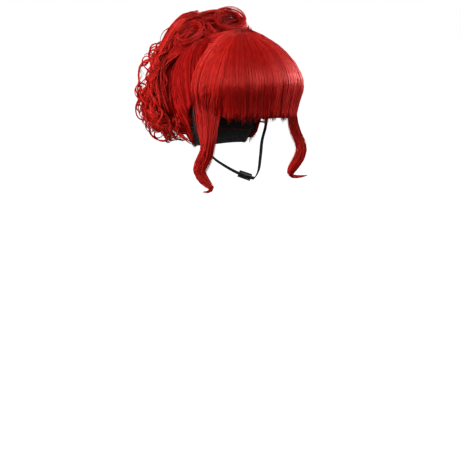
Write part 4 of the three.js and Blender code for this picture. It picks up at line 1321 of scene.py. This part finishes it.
# Floor, light and camera: white paper far below the wig, soft lights all round it, and the photograph's view.
# Three of the lights only show as sheen along the hair, and most of the others give it no sheen.
# Lengths from here on are in metres.
FLOOR_HEIGHT = -0.75
FLOOR_RADIUS = 40
PAPER = "#F4F4F4"
PAPER_GLOW = 0.95
WHITE = linear("#FFFFFF")
ROOM_LIGHT = 0.12
floor_mesh = bmesh.new()
bmesh.ops.create_circle(floor_mesh, cap_ends=True, segments=64, radius=FLOOR_RADIUS)
bmesh.ops.translate(floor_mesh, vec=(0, 0, FLOOR_HEIGHT), verts=floor_mesh.verts)
paper, shader = new_material("white_paper", Roughness=0.9, Base_Color=linear(PAPER), Emission_Color=WHITE)
shader.inputs["Emission Strength"].default_value = PAPER_GLOW
floor = add_piece("floor", floor_mesh, paper)
floor.visible_diffuse = False
floor.visible_glossy = False

world = bpy.data.worlds.new("soft_room")
bpy.context.scene.world = world
world.use_nodes = True
sky = world.node_tree.nodes["Background"]
sky.inputs["Color"].default_value = WHITE
sky.inputs["Strength"].default_value = ROOM_LIGHT
seen = add_node(world, "ShaderNodeBackground", {"Color": WHITE, "Strength": 1.0})
ray = add_node(world, "ShaderNodeLightPath")
skies = {0: ray.outputs["Is Camera Ray"], 1: sky.outputs[0], 2: seen.outputs[0]}
both = add_node(world, "ShaderNodeMixShader", skies)
world.node_tree.links.new(both.outputs[0], world.node_tree.nodes["World Output"].inputs["Surface"])

# each light: azimuth, elevation, distance, size, watts, whether it lights the hair, whether it gives sheen
LIGHTS = {
    "key_light": (-16, 44, 1.7, 0.8, 11, True, True),
    "left_light": (-100, 20, 1.7, 1.0, 20, True, False),
    "low_left_light": (-128, -14, 1.7, 1.0, 26, True, False),
    "low_right_light": (64, -14, 1.7, 1.0, 8, True, False),
    "right_light": (54, 30, 1.8, 0.9, 18, True, False),
    "sheen_light": (-6, 23, 1.7, 1.3, 38, False, True),
    "left_sheen_light": (-76, 15, 1.7, 1.0, 16, False, True),
    "right_sheen_light": (74, 15, 1.7, 1.3, 32, False, True),
    "far_light": (112, 25, 1.7, 1.0, 20, True, False),
    "back_light": (175, 30, 1.8, 1.0, 18, True, False),
}
LIGHT_AIM = np.array([0, 0.02, -0.08])
LIGHT_TURN = np.array([0.3, 1.0, 0.0])
SHEEN_TALL = 0.6


def stand(thing, name, right, up, back, place):
    """Sets up a light or camera by its own axes and its place."""
    stood = new_object(name, thing)
    stood.matrix_world = Matrix([[right[i], up[i], back[i], place[i]] for i in range(3)] + [[0, 0, 0, 1]])
    return stood


for name, (azimuth, elevation, distance, size, watts, lit, mirrored) in LIGHTS.items():
    back = np.append(outward(azimuth) * math.cos(math.radians(elevation)), math.sin(math.radians(elevation)))
    right = square_to(LIGHT_TURN, back)
    data = bpy.data.lights.new(name, "AREA")
    data.size = size
    data.energy = watts
    if not lit:
        data.shape = "RECTANGLE"
        data.size_y = SHEEN_TALL
    light = stand(data, name, right, np.cross(back, right), back, back * distance + LIGHT_AIM)
    light.visible_diffuse = lit
    light.visible_glossy = mirrored

EYE = (-0.8369, -1.1352, 0.0115)
EYE_RIGHT = (0.80902, -0.58779, 0.0)
EYE_UP = (0.13722, 0.18886, 0.97236)
PICTURE_PIXELS = 460
FOCAL_PIXELS = 838
SENSOR = 36
lens = bpy.data.cameras.new("camera")
lens.sensor_width = SENSOR
lens.lens = SENSOR * FOCAL_PIXELS / PICTURE_PIXELS
bpy.context.scene.camera = stand(lens, "camera", EYE_RIGHT, EYE_UP, -SIGHT, EYE)
bpy.context.scene.view_settings.view_transform = "Standard"
